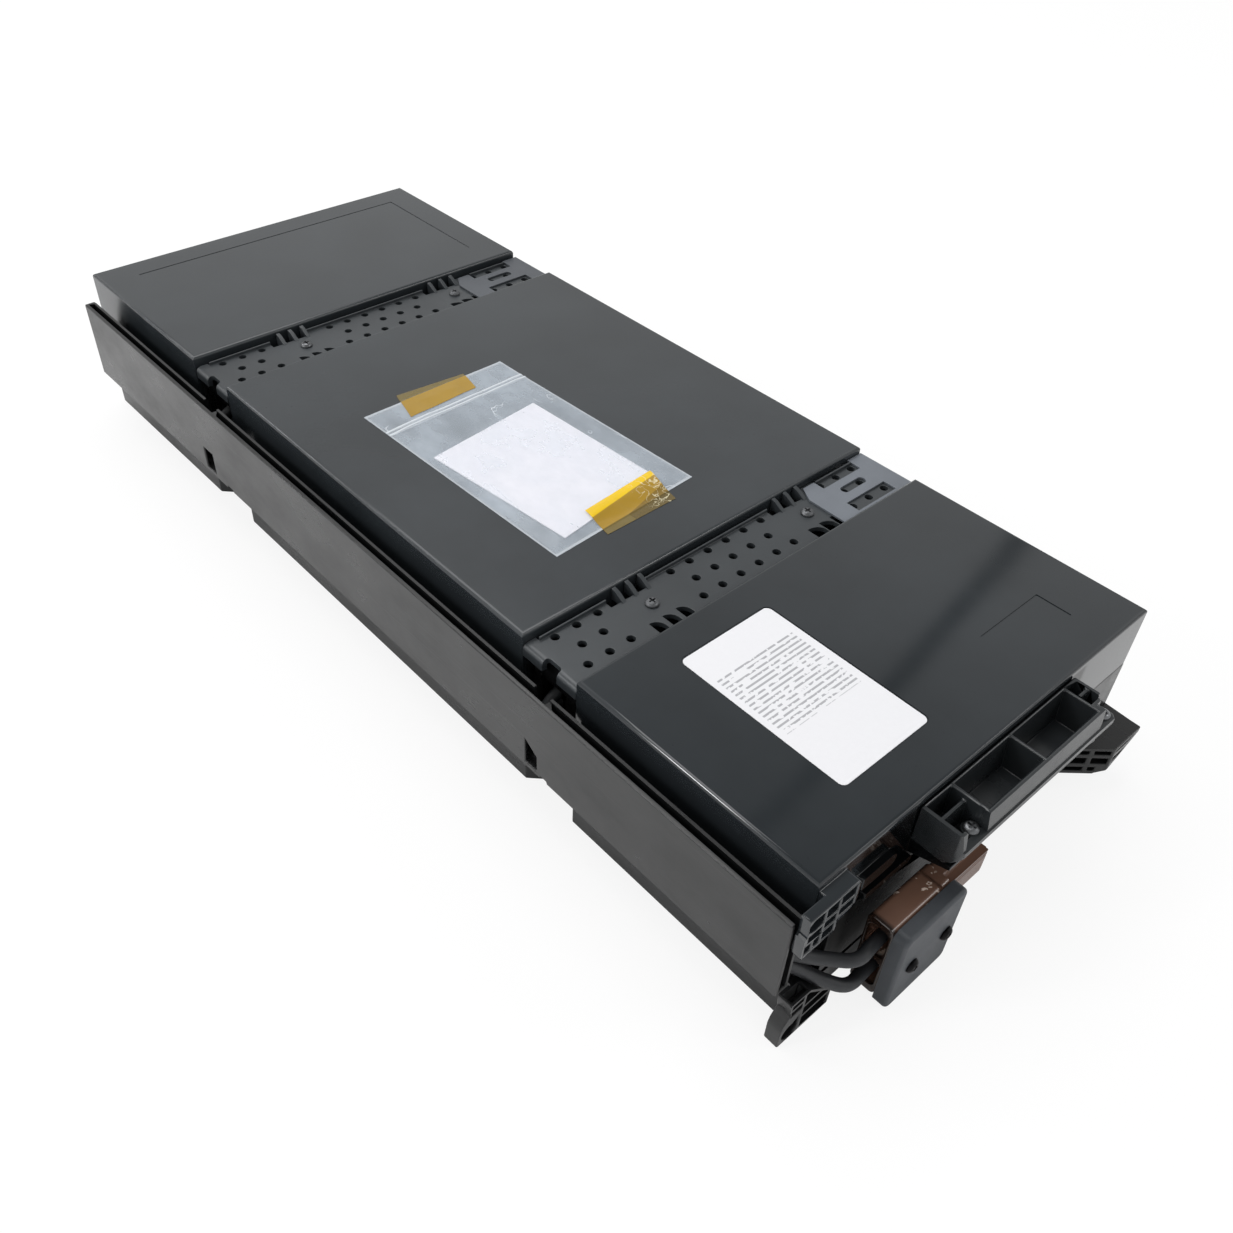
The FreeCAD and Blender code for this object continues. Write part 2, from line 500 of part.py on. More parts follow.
def terminal_cover(shift):
    y0, y1 = STRIP_Y
    z0, z1 = STRIP_Z - STRIP_T, STRIP_Z
    r = 2.6
    edge = [(-STRIP_SIDE, FLANGE_Z)]
    for k in range(7):
        t = math.radians(180 - 15 * k)
        edge.append((-STRIP_SIDE + r + r * math.cos(t), z1 - r + r * math.sin(t)))
    edge += [(LID_X, z1), (LID_X, z0), (-STRIP_SIDE + SKIN + 0.6, z0), (-STRIP_SIDE + SKIN, z0 - 0.6),
             (-STRIP_SIDE + SKIN, FLANGE_Z)]
    plate = prism(edge, "y", y0, y1)
    fins = []
    for x in FIN_X:
        curve = [(y1 - 7.2, z1 - 0.4), (y1 - 6.6, z1 + 0.2), (y1 - 5.2, z1 + 0.9), (y1 - 3.6, z1 + 1.8),
                 (y1 - 2.0, z1 + 2.7), (y1, z1 + 3.2), (y1, z1 - 0.4)]
        fins.append(prism(curve, "x", x - FIN_T / 2, x + FIN_T / 2))
    # raised lip along the trough, between the groups of fins and in the bracket's notch
    reach = FIN_T / 2 + 4.6
    notch = TRAY_X - BRACKET_W
    troughs = ((-STRIP_SIDE + 6, FIN_X[0] - reach), (FIN_X[2] + FIN_T / 2, FIN_X[3] - reach),
               (notch + BRACKET_NOTCH[0] + 0.4, notch + BRACKET_NOTCH[1] - 0.4))
    lips = [span((a, b), (y1 - TROUGH - LIP[0], y1 - TROUGH), (z1 - 0.4, z1 + LIP[1])) for a, b in troughs]
    plate = join([plate] + fins + lips)
    tools = []
    for row, back in enumerate(VENT_IN):
        y = ZONES[0][0] + back
        half = [(k + 0.5) * VENT_PITCH for k in range(3)] if row != 1 else [0.0, VENT_PITCH, 2 * VENT_PITCH]
        xs = sorted(set([-x for x in half] + half))
        offs = (-VENT_PITCH, 0.0, VENT_PITCH) if row != 1 else (-VENT_PITCH / 2, VENT_PITCH / 2)
        xs += [side * SIDE_GROUP + d for side in (-1, 1) for d in offs]
        tools += [disc(x, y, z0 - 1, VENT_D, STRIP_T + 2) for x in xs]
    for x in FIN_X:
        pocket = (x - FIN_T / 2 - 4.6, x - FIN_T / 2)
        tools.append(span(pocket, (y1 - POCKET, y1 + 1), (z0 - 1, z1 + 1)))
    for a, b in troughs:
        tools.append(span((a, b), (y1 - TROUGH, y1 + 1), (z0 - 1, z1 + 1)))
    # openings under the front lid's hooks, their rear edge curved
    for a, b in SNAP_X:
        curve = [(a + (b - a) * math.sin(math.radians(t)), y0 + 3.8 + 4.3 * math.cos(math.radians(t)))
                 for t in range(0, 91, 15)]
        tools.append(prism([(a, y0 - 1)] + curve + [(b, y0 - 1)], "z", z0 - 1, z1 + 1))
    for x in (-SCREW_X, SCREW_X):
        tools.append(disc(x, SCREW_Y, z0 - 1, HOLE_D, STRIP_T + 2))
    notch = (SCREW_Y - 5.2, SCREW_Y + 2.6)
    tools.append(rounded((-STRIP_SIDE - 3, -STRIP_SIDE + 3), notch, (FLANGE_Z - 1, z1 + 1), 1.4))
    whole = carve(plate, tools)
    whole.translate(V(0, shift, 0))
    return whole


def side_bracket(shift):
    """Sheet bracket over the right end of a terminal cover, turned down at the side."""
    t = BRACKET_T
    y0, y1 = STRIP_Y
    z1 = STRIP_Z + t
    low = z1 - BRACKET_SIDE
    x0 = TRAY_X - BRACKET_W
    n0, n1 = x0 + BRACKET_NOTCH[0], x0 + BRACKET_NOTCH[1]
    plan = [(x0, y0), (TRAY_X, y0), (TRAY_X, y1), (n1, y1), (n1, y1 - 7.2), (n0, y1 - 7.2), (n0, y1 - 1.6),
            (x0 + 4.0, y1 - 1.6), (x0, y1 - 8.7)]
    top = prism(plan, "z", STRIP_Z, z1)
    side = prism([(y0, z1), (y1, z1), (y1, low + 4), (y1 - 4, low), (y0 + 4, low), (y0, low + 4)],
                 "x", TRAY_X - t, TRAY_X)
    plate = join([top, side])
    fold = [e for e in plate.Edges if len(e.Vertexes) == 2 and abs(e.tangentAt(e.FirstParameter).y) > 0.99
            and abs(e.Vertexes[0].X - TRAY_X) < 0.01 and abs(e.Vertexes[0].Z - z1) < 0.01]
    plate = plate.makeFillet(0.9, fold)
    through = (STRIP_Z - 1, z1 + 1)
    slot = rounded((x0 + 15.6, x0 + 30.1), (SCREW_Y - 1.8, SCREW_Y + 2.2), through, 1.95)
    tools = [slot, span((n0 - 0.3, n1 + 0.2), (y0 + 2.6, y0 + 9.1), through)]
    whole = carve(plate, tools)
    whole.translate(V(0, shift, 0))
    return whole


# ---- handle ----
def handle():
    """Pull handle: two finger pockets over a flange that its screws hold down."""
    x0, x1 = HANDLE_X
    top, base, line = HANDLE_TOP, HANDLE_BASE, HANDLE_LINE
    over = top + 1
    side = [(-0.1, top), (-16.0, top), (-17.2, line + 0.7), (-17.2, line + 0.1), (-17.8, line - 0.1),
            (-18.0, line - 2.3), (-17.4, line - 3.7), (-12.6, base), (-0.1, base)]
    whole = prism(side, "x", x0, x1)
    floor = base + HANDLE_FLOOR
    pocket = [(-1.3, over), (-14.7, over), (-14.7, top), (-12.2, line + 0.4), (-10.8, floor), (-2.2, floor),
              (-1.3, top)]
    tools = [prism(pocket, "x", a, b) for a, b in POCKETS]
    left, right = POCKETS[0][0] - 1.6, POCKETS[1][1] + 1.4
    # left end: open-fronted recess for the screw; right end: two cells behind an open corner
    low = floor + 0.8
    alcove = [(-14.9, over), (-1.3, over), (-1.3, low), (-14.9, low)]
    tools.append(prism(alcove, "x", x0 + 1.4, left))
    tools.append(prism([(-13.0, over), (-19, over), (-19, line), (-13.0, line)], "x", x0 + 3.0, left))
    cells = [(-11.4, over), (-1.3, over), (-1.3, low), (-11.4, low)]
    tools.append(prism(cells, "x", right, HANDLE_BODY - 1.2))
    tools.append(prism([(1, over), (-19, over), (-19, line), (1, line)], "x", HANDLE_BODY, x1 + 1))
    corner = span((right, x1), (-19.0, -12.6), (line, over)).cut(disc(right - 0.6, -14.6, line - 1, 5.2, 20))
    tools.append(corner)
    tools += [disc(x, y, HANDLE_SEAT, HANDLE_HEAD + 1.0, 20) for x, y in HANDLE_SCREWS]
    body = carve(whole, tools)
    parts = [body, span((x0 + 0.5, left + 0.3), (-7.4, -6.0), (floor - 0.2, top - 2.0)),
             span((right - 0.4, HANDLE_BODY - 0.6), (-7.0, -5.6), (floor - 0.2, top - 0.5))]
    for x, y in HANDLE_SCREWS:
        parts.append(disc(x, y, floor - 0.2, BOSS_D, HANDLE_SEAT - floor + 0.2).common(whole))
    body = join(parts)
    tools = [disc(x, y, base - 1, HOLE_D, 20) for x, y in HANDLE_SCREWS]
    # slanting front corners
    tools.append(prism([(x1 + 1, -15.4), (x1 + 1, -20.0), (x1 - 4.0, -20.0)], "z", base - 5, over))
    tools.append(prism([(x0 - 1, -14.0), (x0 - 1, -20.0), (x0 + 4.0, -20.0)], "z", base - 5, over))
    return carve(body, tools)


# ---- blocks and wiring ----
def block_x(side):
    inner, outer = BLOCK_GAP / 2, BLOCK_GAP / 2 + BLOCK[0]
    return (inner, outer) if side > 0 else (-outer, -inner)


def battery_block(side, row):
    """Sealed block lying on its side; terminals_front says which end its lid is at."""
    x = block_x(side)
    y = (BLOCK_Y[row], BLOCK_Y[row] + BLOCK[1])
    z = (BLOCK_Z, BLOCK_Z + BLOCK[2])
    body = rounded(x, y, z, BLOCK_R, "y")
    rear_facing = row in (0, 2)
    seam = y[1] - 9.0 if rear_facing else y[0] + 9.0
    ring = span((x[0] - 1, x[1] + 1), (seam - 0.4, seam + 0.4), (z[0] - 1, z[1] + 1))
    inside = ((x[0] + 0.6, x[1] - 0.6), (seam - 1, seam + 1), (z[0] + 0.6, z[1] - 0.6))
    core = rounded(*inside, BLOCK_R - 0.4, "y")
    return carve(body, [ring.cut(core)])


def tab_y(row):
    """Where a row's tabs lie, root then tip."""
    if row in (0, 2):
        root = BLOCK_Y[row] + BLOCK[1]
        return root, root + TAB[1]
    return BLOCK_Y[row], BLOCK_Y[row] - TAB[1]


def tab_x(side):
    mid = side * (BLOCK_GAP / 2 + BLOCK[0] / 2)
    return mid - TAB_OFF, mid + TAB_OFF


def battery_tabs():
    tabs = []
    for row in range(4):
        a, b = sorted(tab_y(row))
        for side in (-1, 1):
            for x in tab_x(side):
                tabs.append(span((x - TAB[0] / 2, x + TAB[0] / 2), (a, b), (TAB_Z, TAB_Z + TAB[2])))
    return tabs


def link_straps():
    """Flat straps on the tabs: the four blocks at each terminal zone are one ring, open at the left."""
    z = (TAB_Z + TAB[2], TAB_Z + TAB[2] + 1.0)
    inner, outer = tab_x(1)
    straps = []
    for front, rear in ((0, 1), (2, 3)):
        for row in (front, rear):
            a, b = sorted(tab_y(row))
            straps.append(rounded((-inner - 4.4, inner + 4.4), (a + 0.7, b - 0.7), z, 1.5))
        a, b = tab_y(front)[0] + 0.7, tab_y(rear)[0] - 0.7
        straps.append(rounded((outer - 4.2, outer + 4.2), (a, b), z, 1.5))
    return straps


WIRE_X = -TRAY_X - 2.9
WIRE_LO = RACE_Z[0] + RACE_FLOOR + LEAD_D / 2 + 0.1
WIRE_HI = WIRE_LO + LEAD_D + 0.3
LEAD_START = 18.0


def straight_points(y0, y1, z, steps):
    """Nearly straight run along the raceway, leaning from side to side by a hair."""
    out = []
    for k in range(1, steps):
        lean = 0.0 if k == steps - 1 else 0.15 if k % 2 else -0.15
        out.append((WIRE_X + lean, y0 + (y1 - y0) * k / steps, z))
    return out


def harness():
    out_x = tab_x(-1)[0]
    tab_mid = TAB_Z + TAB[2] / 2

    def front_side(row):
        tip = tab_y(row)[1]
        return [(out_x, tip, tab_mid), (out_x, tip + 11.6, tab_mid), (WIRE_X, tip + 12.6, 47.6),
                (WIRE_X, tip - 4.0, WIRE_HI)]

    tip_b, tip_c = tab_y(1)[1], tab_y(3)[1]
    a = front_side(0) + straight_points(tab_y(0)[1] - 4.0, LEAD_START, WIRE_HI, 4)
    a.append((WIRE_X, LEAD_START, WIRE_HI))
    b_back = front_side(2)
    b_front = [(out_x, tip_b, tab_mid), (out_x, tip_b - 6.0, tab_mid), (out_x - 5.0, tip_b - 11.5, 52.0),
               (WIRE_X, tip_b - 9.0, 41.6),
               (WIRE_X, tip_b + 8.0, WIRE_HI)]
    y0, y1 = b_front[-1][1], b_back[-1][1]
    b = b_front + straight_points(y0, y1, WIRE_HI, 7) + list(reversed(b_back))
    c0 = [(out_x, tip_c, tab_mid), (out_x, tip_c - 6.0, tab_mid), (out_x - 5.0, tip_c - 11.5, 51.0),
          (WIRE_X, tip_c - 13.5, 39.5), (WIRE_X, tip_c - 31.0, WIRE_LO)]
    c = c0 + straight_points(c0[-1][1], LEAD_START, WIRE_LO, 8) + [(WIRE_X, LEAD_START, WIRE_LO)]
    return [cord("harness %d" % (i + 1), p, LEAD_D) for i, p in enumerate((a, b, c))]


POLE_Z = (30.0, 14.0)
CONN_X0 = -67.0
CONN_Y = (-14.8, -4.5)
POLE_Y = (CONN_Y[0] + CONN_Y[1]) / 2
ENTRY = 7.4              # depth of the housing's wire entries
LEADS = {
    "lead_upper": [(WIRE_X, LEAD_START, WIRE_HI), (WIRE_X, 5.8, WIRE_HI), (-90.4, 1.0, 32.6),
                   (-83.6, -4.2, 30.2), (-77.0, -10.9, 29.8), (-68.2, POLE_Y, POLE_Z[0]),
                   (CONN_X0 + ENTRY, POLE_Y, POLE_Z[0])],
    "lead_lower": [(WIRE_X, LEAD_START, WIRE_LO), (WIRE_X, 5.8, WIRE_LO), (-90.6, 0.9, 25.4),
                   (-84.6, -5.0, 19.4), (-78.2, -10.8, 15.6), (-68.9, POLE_Y, POLE_Z[1]),
                   (CONN_X0 + ENTRY, POLE_Y, POLE_Z[1])],
}


def foam_pads():
    """Foam strips between neighbouring blocks and at both end walls."""
    pads = []
    low, high, under_lid = BLOCK_Z + FOAM_EDGE, BLOCK_Z + BLOCK[2] - FOAM_EDGE, PART_Z - 2.5
    for y in BLOCK_Y:
        along = (y + FOAM_EDGE, y + BLOCK[1] - FOAM_EDGE)
        pads.append(span((-BLOCK_GAP / 2, BLOCK_GAP / 2), along, (low, high)))
    for side in (-1, 1):
        x0, x1 = block_x(side)
        x = (x0 + FOAM_EDGE, x1 - FOAM_EDGE)
        pads.append(span(x, (BLOCK_Y[1] + BLOCK[1], BLOCK_Y[2]), (low, high)))
        pads.append(span(x, (WALL, BLOCK_Y[0]), (low, under_lid)))
        pads.append(span(x, (BLOCK_Y[3] + BLOCK[1], TRAY_LEN - WALL), (low, under_lid)))
    return pads


# ---- connector on the leads' end ----
CONN_Z = (3.5, 40.0)
CONN_STEP = -36.5         # the square lead end stops here and the two mating lobes start
LOBE_TIPS = (-13.0, -24.0)
LOBE_IN = 0.6             # lobes lie this far inside the lead end's faces
LEDGE = (3.0, 2.8)        # the upper lobe's front edge is stepped: depth in Y, drop in Z
CONTACT_D = 7.4
CONTACT_END = 18.6        # contacts' barrels reach this far from the lead end
HOLDER_SCREWS = ((-58.8, 20.2), (-40.2, 20.2))


def connector_housing():
    """Two-pole housing: lead end square, mating end two lobes, one above the other."""
    front, back = CONN_Y[0] + LOBE_IN, CONN_Y[1] - LOBE_IN
    body = rounded((CONN_X0, CONN_STEP), CONN_Y, CONN_Z, 2.2, "x")
    low, high = CONN_Z[0] + 0.8, CONN_Z[1] - 0.8
    mid = (CONN_Z[0] + CONN_Z[1]) / 2
    upper = rounded((CONN_STEP - 1, LOBE_TIPS[0]), (front, back), (mid + 0.85, high), 2.0, "x")
    lower = rounded((CONN_STEP - 1, LOBE_TIPS[1]), (front, back), (low, mid - 0.85), 2.0, "x")
    neck = span((CONN_STEP - 1, CONN_STEP + 3), (front + 0.8, back - 0.8), (mid - 3, mid + 3))
    body = join([body, upper, lower, neck])
    tools = []
    for z, tip in zip(POLE_Z, LOBE_TIPS):
        entry = (CONN_X0 - 1, CONN_X0 + ENTRY)
        tools.append(rounded(entry, (CONN_Y[0] + 1.1, CONN_Y[1] - 1.1), (z - 7.0, z + 7.0), 2.4, "x"))
        tools.append(disc(CONN_X0, POLE_Y, z, CONTACT_D + 0.2, CONTACT_END + 0.4, V(1, 0, 0)))
        tools.append(span((CONN_X0 + 18, tip + 1), (POLE_Y - 1.6, POLE_Y + 1.6), (z - 4.6, z + 4.6)))
        tools.append(span((tip - 9, tip + 1), (POLE_Y - 3.1, POLE_Y + 3.1), (z - 6.0, z + 6.0)))
    # stepped front edge and two fine grooves along the upper lobe, a groove round the lead end's top
    step = high - LEDGE[1]
    tools.append(span((CONN_STEP, LOBE_TIPS[0] + 1), (front - 1, front + LEDGE[0]), (step, high + 1)))
    for z in (step - 1.4, step - 3.0):
        tools.append(span((CONN_STEP, LOBE_TIPS[0] + 1), (front - 1, front + 0.4), (z - 0.5, z)))
    groove = (CONN_STEP - 5.2, CONN_STEP - 4.0)
    tools.append(span(groove, (CONN_Y[0] - 1, CONN_Y[1] + 1), (CONN_Z[1] - 0.9, CONN_Z[1] + 1)))
    for x, z in HOLDER_SCREWS:
        tools.append(disc(x, CONN_Y[0] - 1, z, BORE_D, 4.6, V(0, 1, 0)))
    return carve(body, tools)


def connector_contacts():
    out = []
    y = POLE_Y
    for z, tip in zip(POLE_Z, LOBE_TIPS):
        root = CONN_X0 + CONTACT_END
        barrel = disc(CONN_X0 + ENTRY, y, z, CONTACT_D, CONTACT_END - ENTRY, V(1, 0, 0))
        blade = prism([(root - 0.4, z - 4.2), (tip - 6, z - 4.2), (tip - 3, z - 2.6), (tip - 3, z + 2.6),
                       (tip - 6, z + 4.2), (root - 0.4, z + 4.2)], "y", y - 1.2, y + 1.2)
        out.append(join([barrel, blade]))
    return out


HOLDER_X = (-67.0, -33.6)
HOLDER_H = 40.0
HOLDER_T = 5.5
HOLDER_R = 3.2            # corners of the plate
HOLDER_Y = (CONN_Y[0] - HOLDER_T, CONN_Y[0])


def connector_holder():
    """Plate across the front of the plug, its front rim rolled."""
    plate = rounded(HOLDER_X, HOLDER_Y, (0.0, HOLDER_H), HOLDER_R, "y")
    rim = [e for e in plate.Edges if all(abs(v.Y - HOLDER_Y[0]) < 0.01 for v in e.Vertexes)
           and abs(e.CenterOfMass.y - HOLDER_Y[0]) < 0.01]
    plate = plate.makeFillet(1.5, rim)
    return carve(plate, [disc(x, HOLDER_Y[0] - 1, z, HOLE_D, 10, V(0, 1, 0)) for x, z in HOLDER_SCREWS])


# ---- label, bag, leaflet, tapes ----
def frustum(loop, inset, z0, z1):
    low = [V(x, y, z0) for x, y in loop]
    high = [V(x, y, z1) for x, y in inset_loop(loop, inset)]
    return Part.makeLoft([Part.makePolygon(low + low[:1]), Part.makePolygon(high + high[:1])], True, True)


def bag_hump(loop, lift=0.0):
    """The pouch's raised part, in front of the zip; lift raises it for what lies on it."""
    return frustum(loop, HUMP_RUN, HEIGHT + BAG_EDGE + lift, HEIGHT + BAG_H + lift)


def clear_bag():
    """Flat film pouch lying on the middle lid, its zip end slightly open."""
    flat, full = list(BAG), list(BAG_FULL)
    rail = prism(ZIP, "z", HEIGHT + BAG_EDGE - 0.1, HEIGHT + 1.3)
    bag = join([prism(flat, "z", HEIGHT, HEIGHT + BAG_EDGE), bag_hump(full), rail])
    low = prism(inset_loop(flat, 2.0), "z", HEIGHT + FILM, HEIGHT + BAG_EDGE - FILM)
    room = inset_loop(full, 1.0)
    step = prism(room, "z", HEIGHT + FILM, HEIGHT + BAG_EDGE)
    inner = frustum(room, HUMP_RUN, HEIGHT + BAG_EDGE - 0.01, HEIGHT + BAG_H - FILM)
    mouth = span((-30, -15), (280.0, 292.0), (HEIGHT + FILM, HEIGHT + BAG_EDGE - FILM))
    return carve(bag, [join([low, step, inner, mouth])])


def leaflet():
    folded = prism(list(LEAFLET), "z", HEIGHT + FILM, HEIGHT + 0.95)
    slit = prism(inset_loop(list(LEAFLET), -3.0), "z", HEIGHT + 0.5, HEIGHT + 0.6)
    slit.translate(V(7.0, 0, 0))
    return carve(folded, [slit])


def tape(loop):
    """Tape that lies on the pouch, follows its edge down and sticks to the lid."""
    wide = inset_loop(list(BAG), -TAPE_T)
    over = [prism(loop, "z", HEIGHT, HEIGHT + TAPE_T), prism(wide, "z", HEIGHT, HEIGHT + BAG_EDGE + TAPE_T),
            bag_hump(list(BAG_FULL), TAPE_T)]
    patch = prism(loop, "z", HEIGHT, HEIGHT + 5).common(join(over))
    return carve(patch, [prism(list(BAG), "z", HEIGHT - 1, HEIGHT + BAG_EDGE), bag_hump(list(BAG_FULL))])


# ---- build everything ----
keep("base_tray", base_tray())
keep("cover_front", cover_front())
keep("cover_middle", lid(LID_MIDDLE, False, False))
keep("cover_rear", cover_rear())
for name, shift in zip(("front", "rear"), STRIP_SHIFTS):
    keep("terminal_cover_" + name, terminal_cover(shift))
    keep("side_bracket_" + name, side_bracket(shift))
keep("cover_screws", [pan_screw(x, SCREW_Y + shift, STRIP_Z, HEAD_D, HEAD_H, SHANK_D, 18.0)
                      for shift in STRIP_SHIFTS for x in (-SCREW_X, SCREW_X)])
keep("handle", handle())
keep("handle_screws",
     [pan_screw(x, y, HANDLE_SEAT, HANDLE_HEAD, HEAD_H, SHANK_D, 15.0) for x, y in HANDLE_SCREWS])
count = 0
for row in range(4):
    for side in (-1, 1):
        count += 1
        keep("battery_block_%d" % count, battery_block(side, row))
keep("battery_terminals", battery_tabs())
keep("link_straps", link_straps())
keep("foam_pads", foam_pads())
keep("raceway_harness", harness())
for name, points in LEADS.items():
    keep(name, cord(name, points, LEAD_D))
keep("connector_housing", connector_housing())
keep("connector_contacts", connector_contacts())
keep("connector_holder", connector_holder())
keep("holder_screws",
     [pan_screw(x, HOLDER_Y[0], z, 5.6, 1.8, SHANK_D, 8.4, V(0, -1, 0)) for x, z in HOLDER_SCREWS])
keep("rating_label", rounded(LABEL[:2], LABEL[2:], (HEIGHT - LABEL_SINK, HEIGHT - LABEL_SINK + LABEL_T), 2.4))
keep("clear_bag", clear_bag())
keep("leaflet", leaflet())
for name, loop in TAPES.items():
    keep(name, tape(loop))

# The origin goes to the middle of the cartridge's own box, without the leads and what hangs on them.
LOOSE = {"lead_upper", "lead_lower", "connector_housing", "connector_contacts", "connector_holder",
         "holder_screws"}
box = FreeCAD.BoundBox()
for name, shapes in NODES.items():
    if name not in LOOSE:
        for s in shapes:
            box.add(s.BoundBox)
shift = V(-(box.XMin + box.XMax) / 2, -(box.YMin + box.YMax) / 2, -box.ZMin)
print("origin shift", [round(c, 4) for c in shift])
print("size", round(box.XLength, 2), round(box.YLength, 2), round(box.ZLength, 2))
for name, shapes in NODES.items():
    solids = []
    for s in shapes:
        s = s.copy()
        s.translate(shift)
        if len(s.Solids) != 1 or not s.isValid():
            print("CHECK", name, "solids", len(s.Solids), "valid", s.isValid())
        solids += s.Solids
    shape = solids[0] if len(solids) == 1 else Part.makeCompound(solids)
    shape.exportStep("parts/%s.step" % name)
print("nodes", len(NODES))
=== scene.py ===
import math

import bmesh
import bpy
from bpy.props import FloatProperty, FloatVectorProperty, PointerProperty
from mathutils import Matrix, Vector, noise


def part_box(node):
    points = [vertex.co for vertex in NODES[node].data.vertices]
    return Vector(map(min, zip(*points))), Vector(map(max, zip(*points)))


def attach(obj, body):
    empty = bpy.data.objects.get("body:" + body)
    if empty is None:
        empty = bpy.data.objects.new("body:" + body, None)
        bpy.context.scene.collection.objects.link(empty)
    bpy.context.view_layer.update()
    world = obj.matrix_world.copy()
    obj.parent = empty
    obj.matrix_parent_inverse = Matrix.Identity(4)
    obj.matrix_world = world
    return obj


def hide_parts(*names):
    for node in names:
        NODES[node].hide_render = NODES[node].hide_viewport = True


bl_info = {
    "name": "Battery cartridge",
    "version": (1, 0, 0),
    "blender": (4, 5, 0),
    "location": "View3D > Sidebar > Cartridge",
    "description": "Dresses a long battery cartridge: tray, lids, handle, plug on leads and a taped pouch",
    "category": "Object",
}

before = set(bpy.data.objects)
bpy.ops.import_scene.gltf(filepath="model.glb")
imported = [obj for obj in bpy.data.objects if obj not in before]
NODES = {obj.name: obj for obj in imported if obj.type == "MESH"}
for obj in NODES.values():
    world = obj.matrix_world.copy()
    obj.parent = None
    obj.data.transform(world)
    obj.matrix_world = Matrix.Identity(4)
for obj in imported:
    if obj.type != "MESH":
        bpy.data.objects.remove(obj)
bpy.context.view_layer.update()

LID_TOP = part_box("cover_middle")[1][2]
FRONT_WALL = -0.2353   # outer face of the front wall, in metres

# The painted shade on the front wall, where it lies in shadow under the handle: where each of its sides fades
# in and where it is full.
SHADE_PATCH_LEFT = (-0.070, -0.066)
SHADE_PATCH_RIGHT = (0.060, 0.057)
SHADE_PATCH_TOP = (0.073, 0.0715)
SHADE_PATCH_BACK = (FRONT_WALL + 0.0035, FRONT_WALL + 0.0025)

# Where the camera stands, in metres, how it's turned, and its lens, in millimetres.
CAMERA_PLACE = (-0.2723, -0.3334, 0.3549)
CAMERA_RIGHT = (0.74093, -0.67029, 0.04165)
CAMERA_UP = (0.42769, 0.51877, 0.74024)
CAMERA_BACK = (-0.51778, -0.53066, 0.67105)
CAMERA_LENS = 33.92
CAMERA_SENSOR = 36

# Each lamp's place, width and height, in metres, and its power, in watts.
LAMPS = {
    "key": ((0.05, 0.85, 2.35), 1.8, 1.8, 34),
    "edge": ((-1.62, 0.62, 1.05), 0.22, 0.5, 9),
    "rear edge": ((-1.6, 2.4, 1.4), 0.22, 0.5, 7),
    "front": ((1.1, -1.35, 1.3), 0.45, 0.45, 4),
}
ROOM_LIGHT = 0.7            # the room's own light on the cartridge
FLOOR_REACH = 6             # how far the floor runs each way, in metres
FLOOR_SEEN = (0.86, 0.17)   # how white the floor looks to the camera, and to gloss and glass

# What gloss sees of the room: it grows dim between two heights, and one dark seam crosses it.
DIM_BETWEEN = (0.55, 0.86)
DIM_TO = 0.22
SEAM_ACROSS = (0, 1, -0.15)
SEAM_PLACE = 0.228
SEAM_FADE = (0.003, 0.013)
SEAM_DARK = 0.15

# How light each finish is laid, as a share of the colour that is picked for it.
SHADES = {"tray": 0.65, "satin lids": 1.2, "front bracket": 1.0, "rear bracket": 0.5, "zinc": 0.6,
          "dull zinc": 0.5}

MERGE_GAP = 2e-6    # corners nearer than this, in metres, are one
FLAT_TURN = 0.8     # degrees between two faces, up to which they are one
BIG_FACE = 20       # sides past which a face is cut into triangles
SHARP_TURN = 28.0   # degrees between two faces, past which the edge between them is broken
RUN_ON = 35.0       # degrees within which one edge runs on into the next
EDGE_ROOM = 2.3     # the shortest edge that may meet a broken one, as a share of its radius

# Where the two leads run, from the raceway to the plug, in metres.
LEAD_ROUTES = {
    "lead_upper": [(-0.0924, -0.2173, 0.0384), (-0.0924, -0.2295, 0.0384), (-0.0849, -0.2343, 0.0326),
                   (-0.0781, -0.2395, 0.0302), (-0.0715, -0.2462, 0.0298), (-0.0627, -0.24495, 0.0300),
                   (-0.0541, -0.24495, 0.0300)],
    "lead_lower": [(-0.0924, -0.2173, 0.0333), (-0.0924, -0.2295, 0.0333), (-0.0851, -0.2344, 0.0254),
                   (-0.0791, -0.2403, 0.0194), (-0.0727, -0.2461, 0.0156), (-0.0634, -0.24495, 0.0140),
                   (-0.0541, -0.24495, 0.0140)],
}

# Plan corners of the pouch, the leaflet and the tapes, in metres.
POUCH = [(-0.0550, 0.0533), (-0.0513, -0.0728), (0.0258, -0.0681), (0.0207, 0.0547)]
LEAFLET = [(-0.0495, 0.0093), (-0.0418, -0.0664), (0.0138, -0.0583), (0.0098, 0.0167)]
TAPES = {
    "tape_rear": [(-0.0340, 0.0597), (0.0007, 0.0566), (-0.0020, 0.0432), (-0.0391, 0.0407)],
    "tape_front": [(-0.0252, -0.0590), (0.0138, -0.0553), (0.0100, -0.0746), (-0.0271, -0.0748)],
}
# Where the front tape's free end is folded double.
TAPE_FOLD = [(-0.0120, -0.0705), (0.0140, -0.0640), (0.0110, -0.0760), (-0.0120, -0.0760)]

# The zip's two ends in plan, and the line between them as its slope and its place at x = 0.
ZIP_START = (-0.0542, 0.0355)
ZIP_END = (0.0214, 0.0379)
ZIP_SLOPE = (ZIP_END[1] - ZIP_START[1]) / (ZIP_END[0] - ZIP_START[0])
ZIP_PLACE = ZIP_START[1] - ZIP_SLOPE * ZIP_START[0]

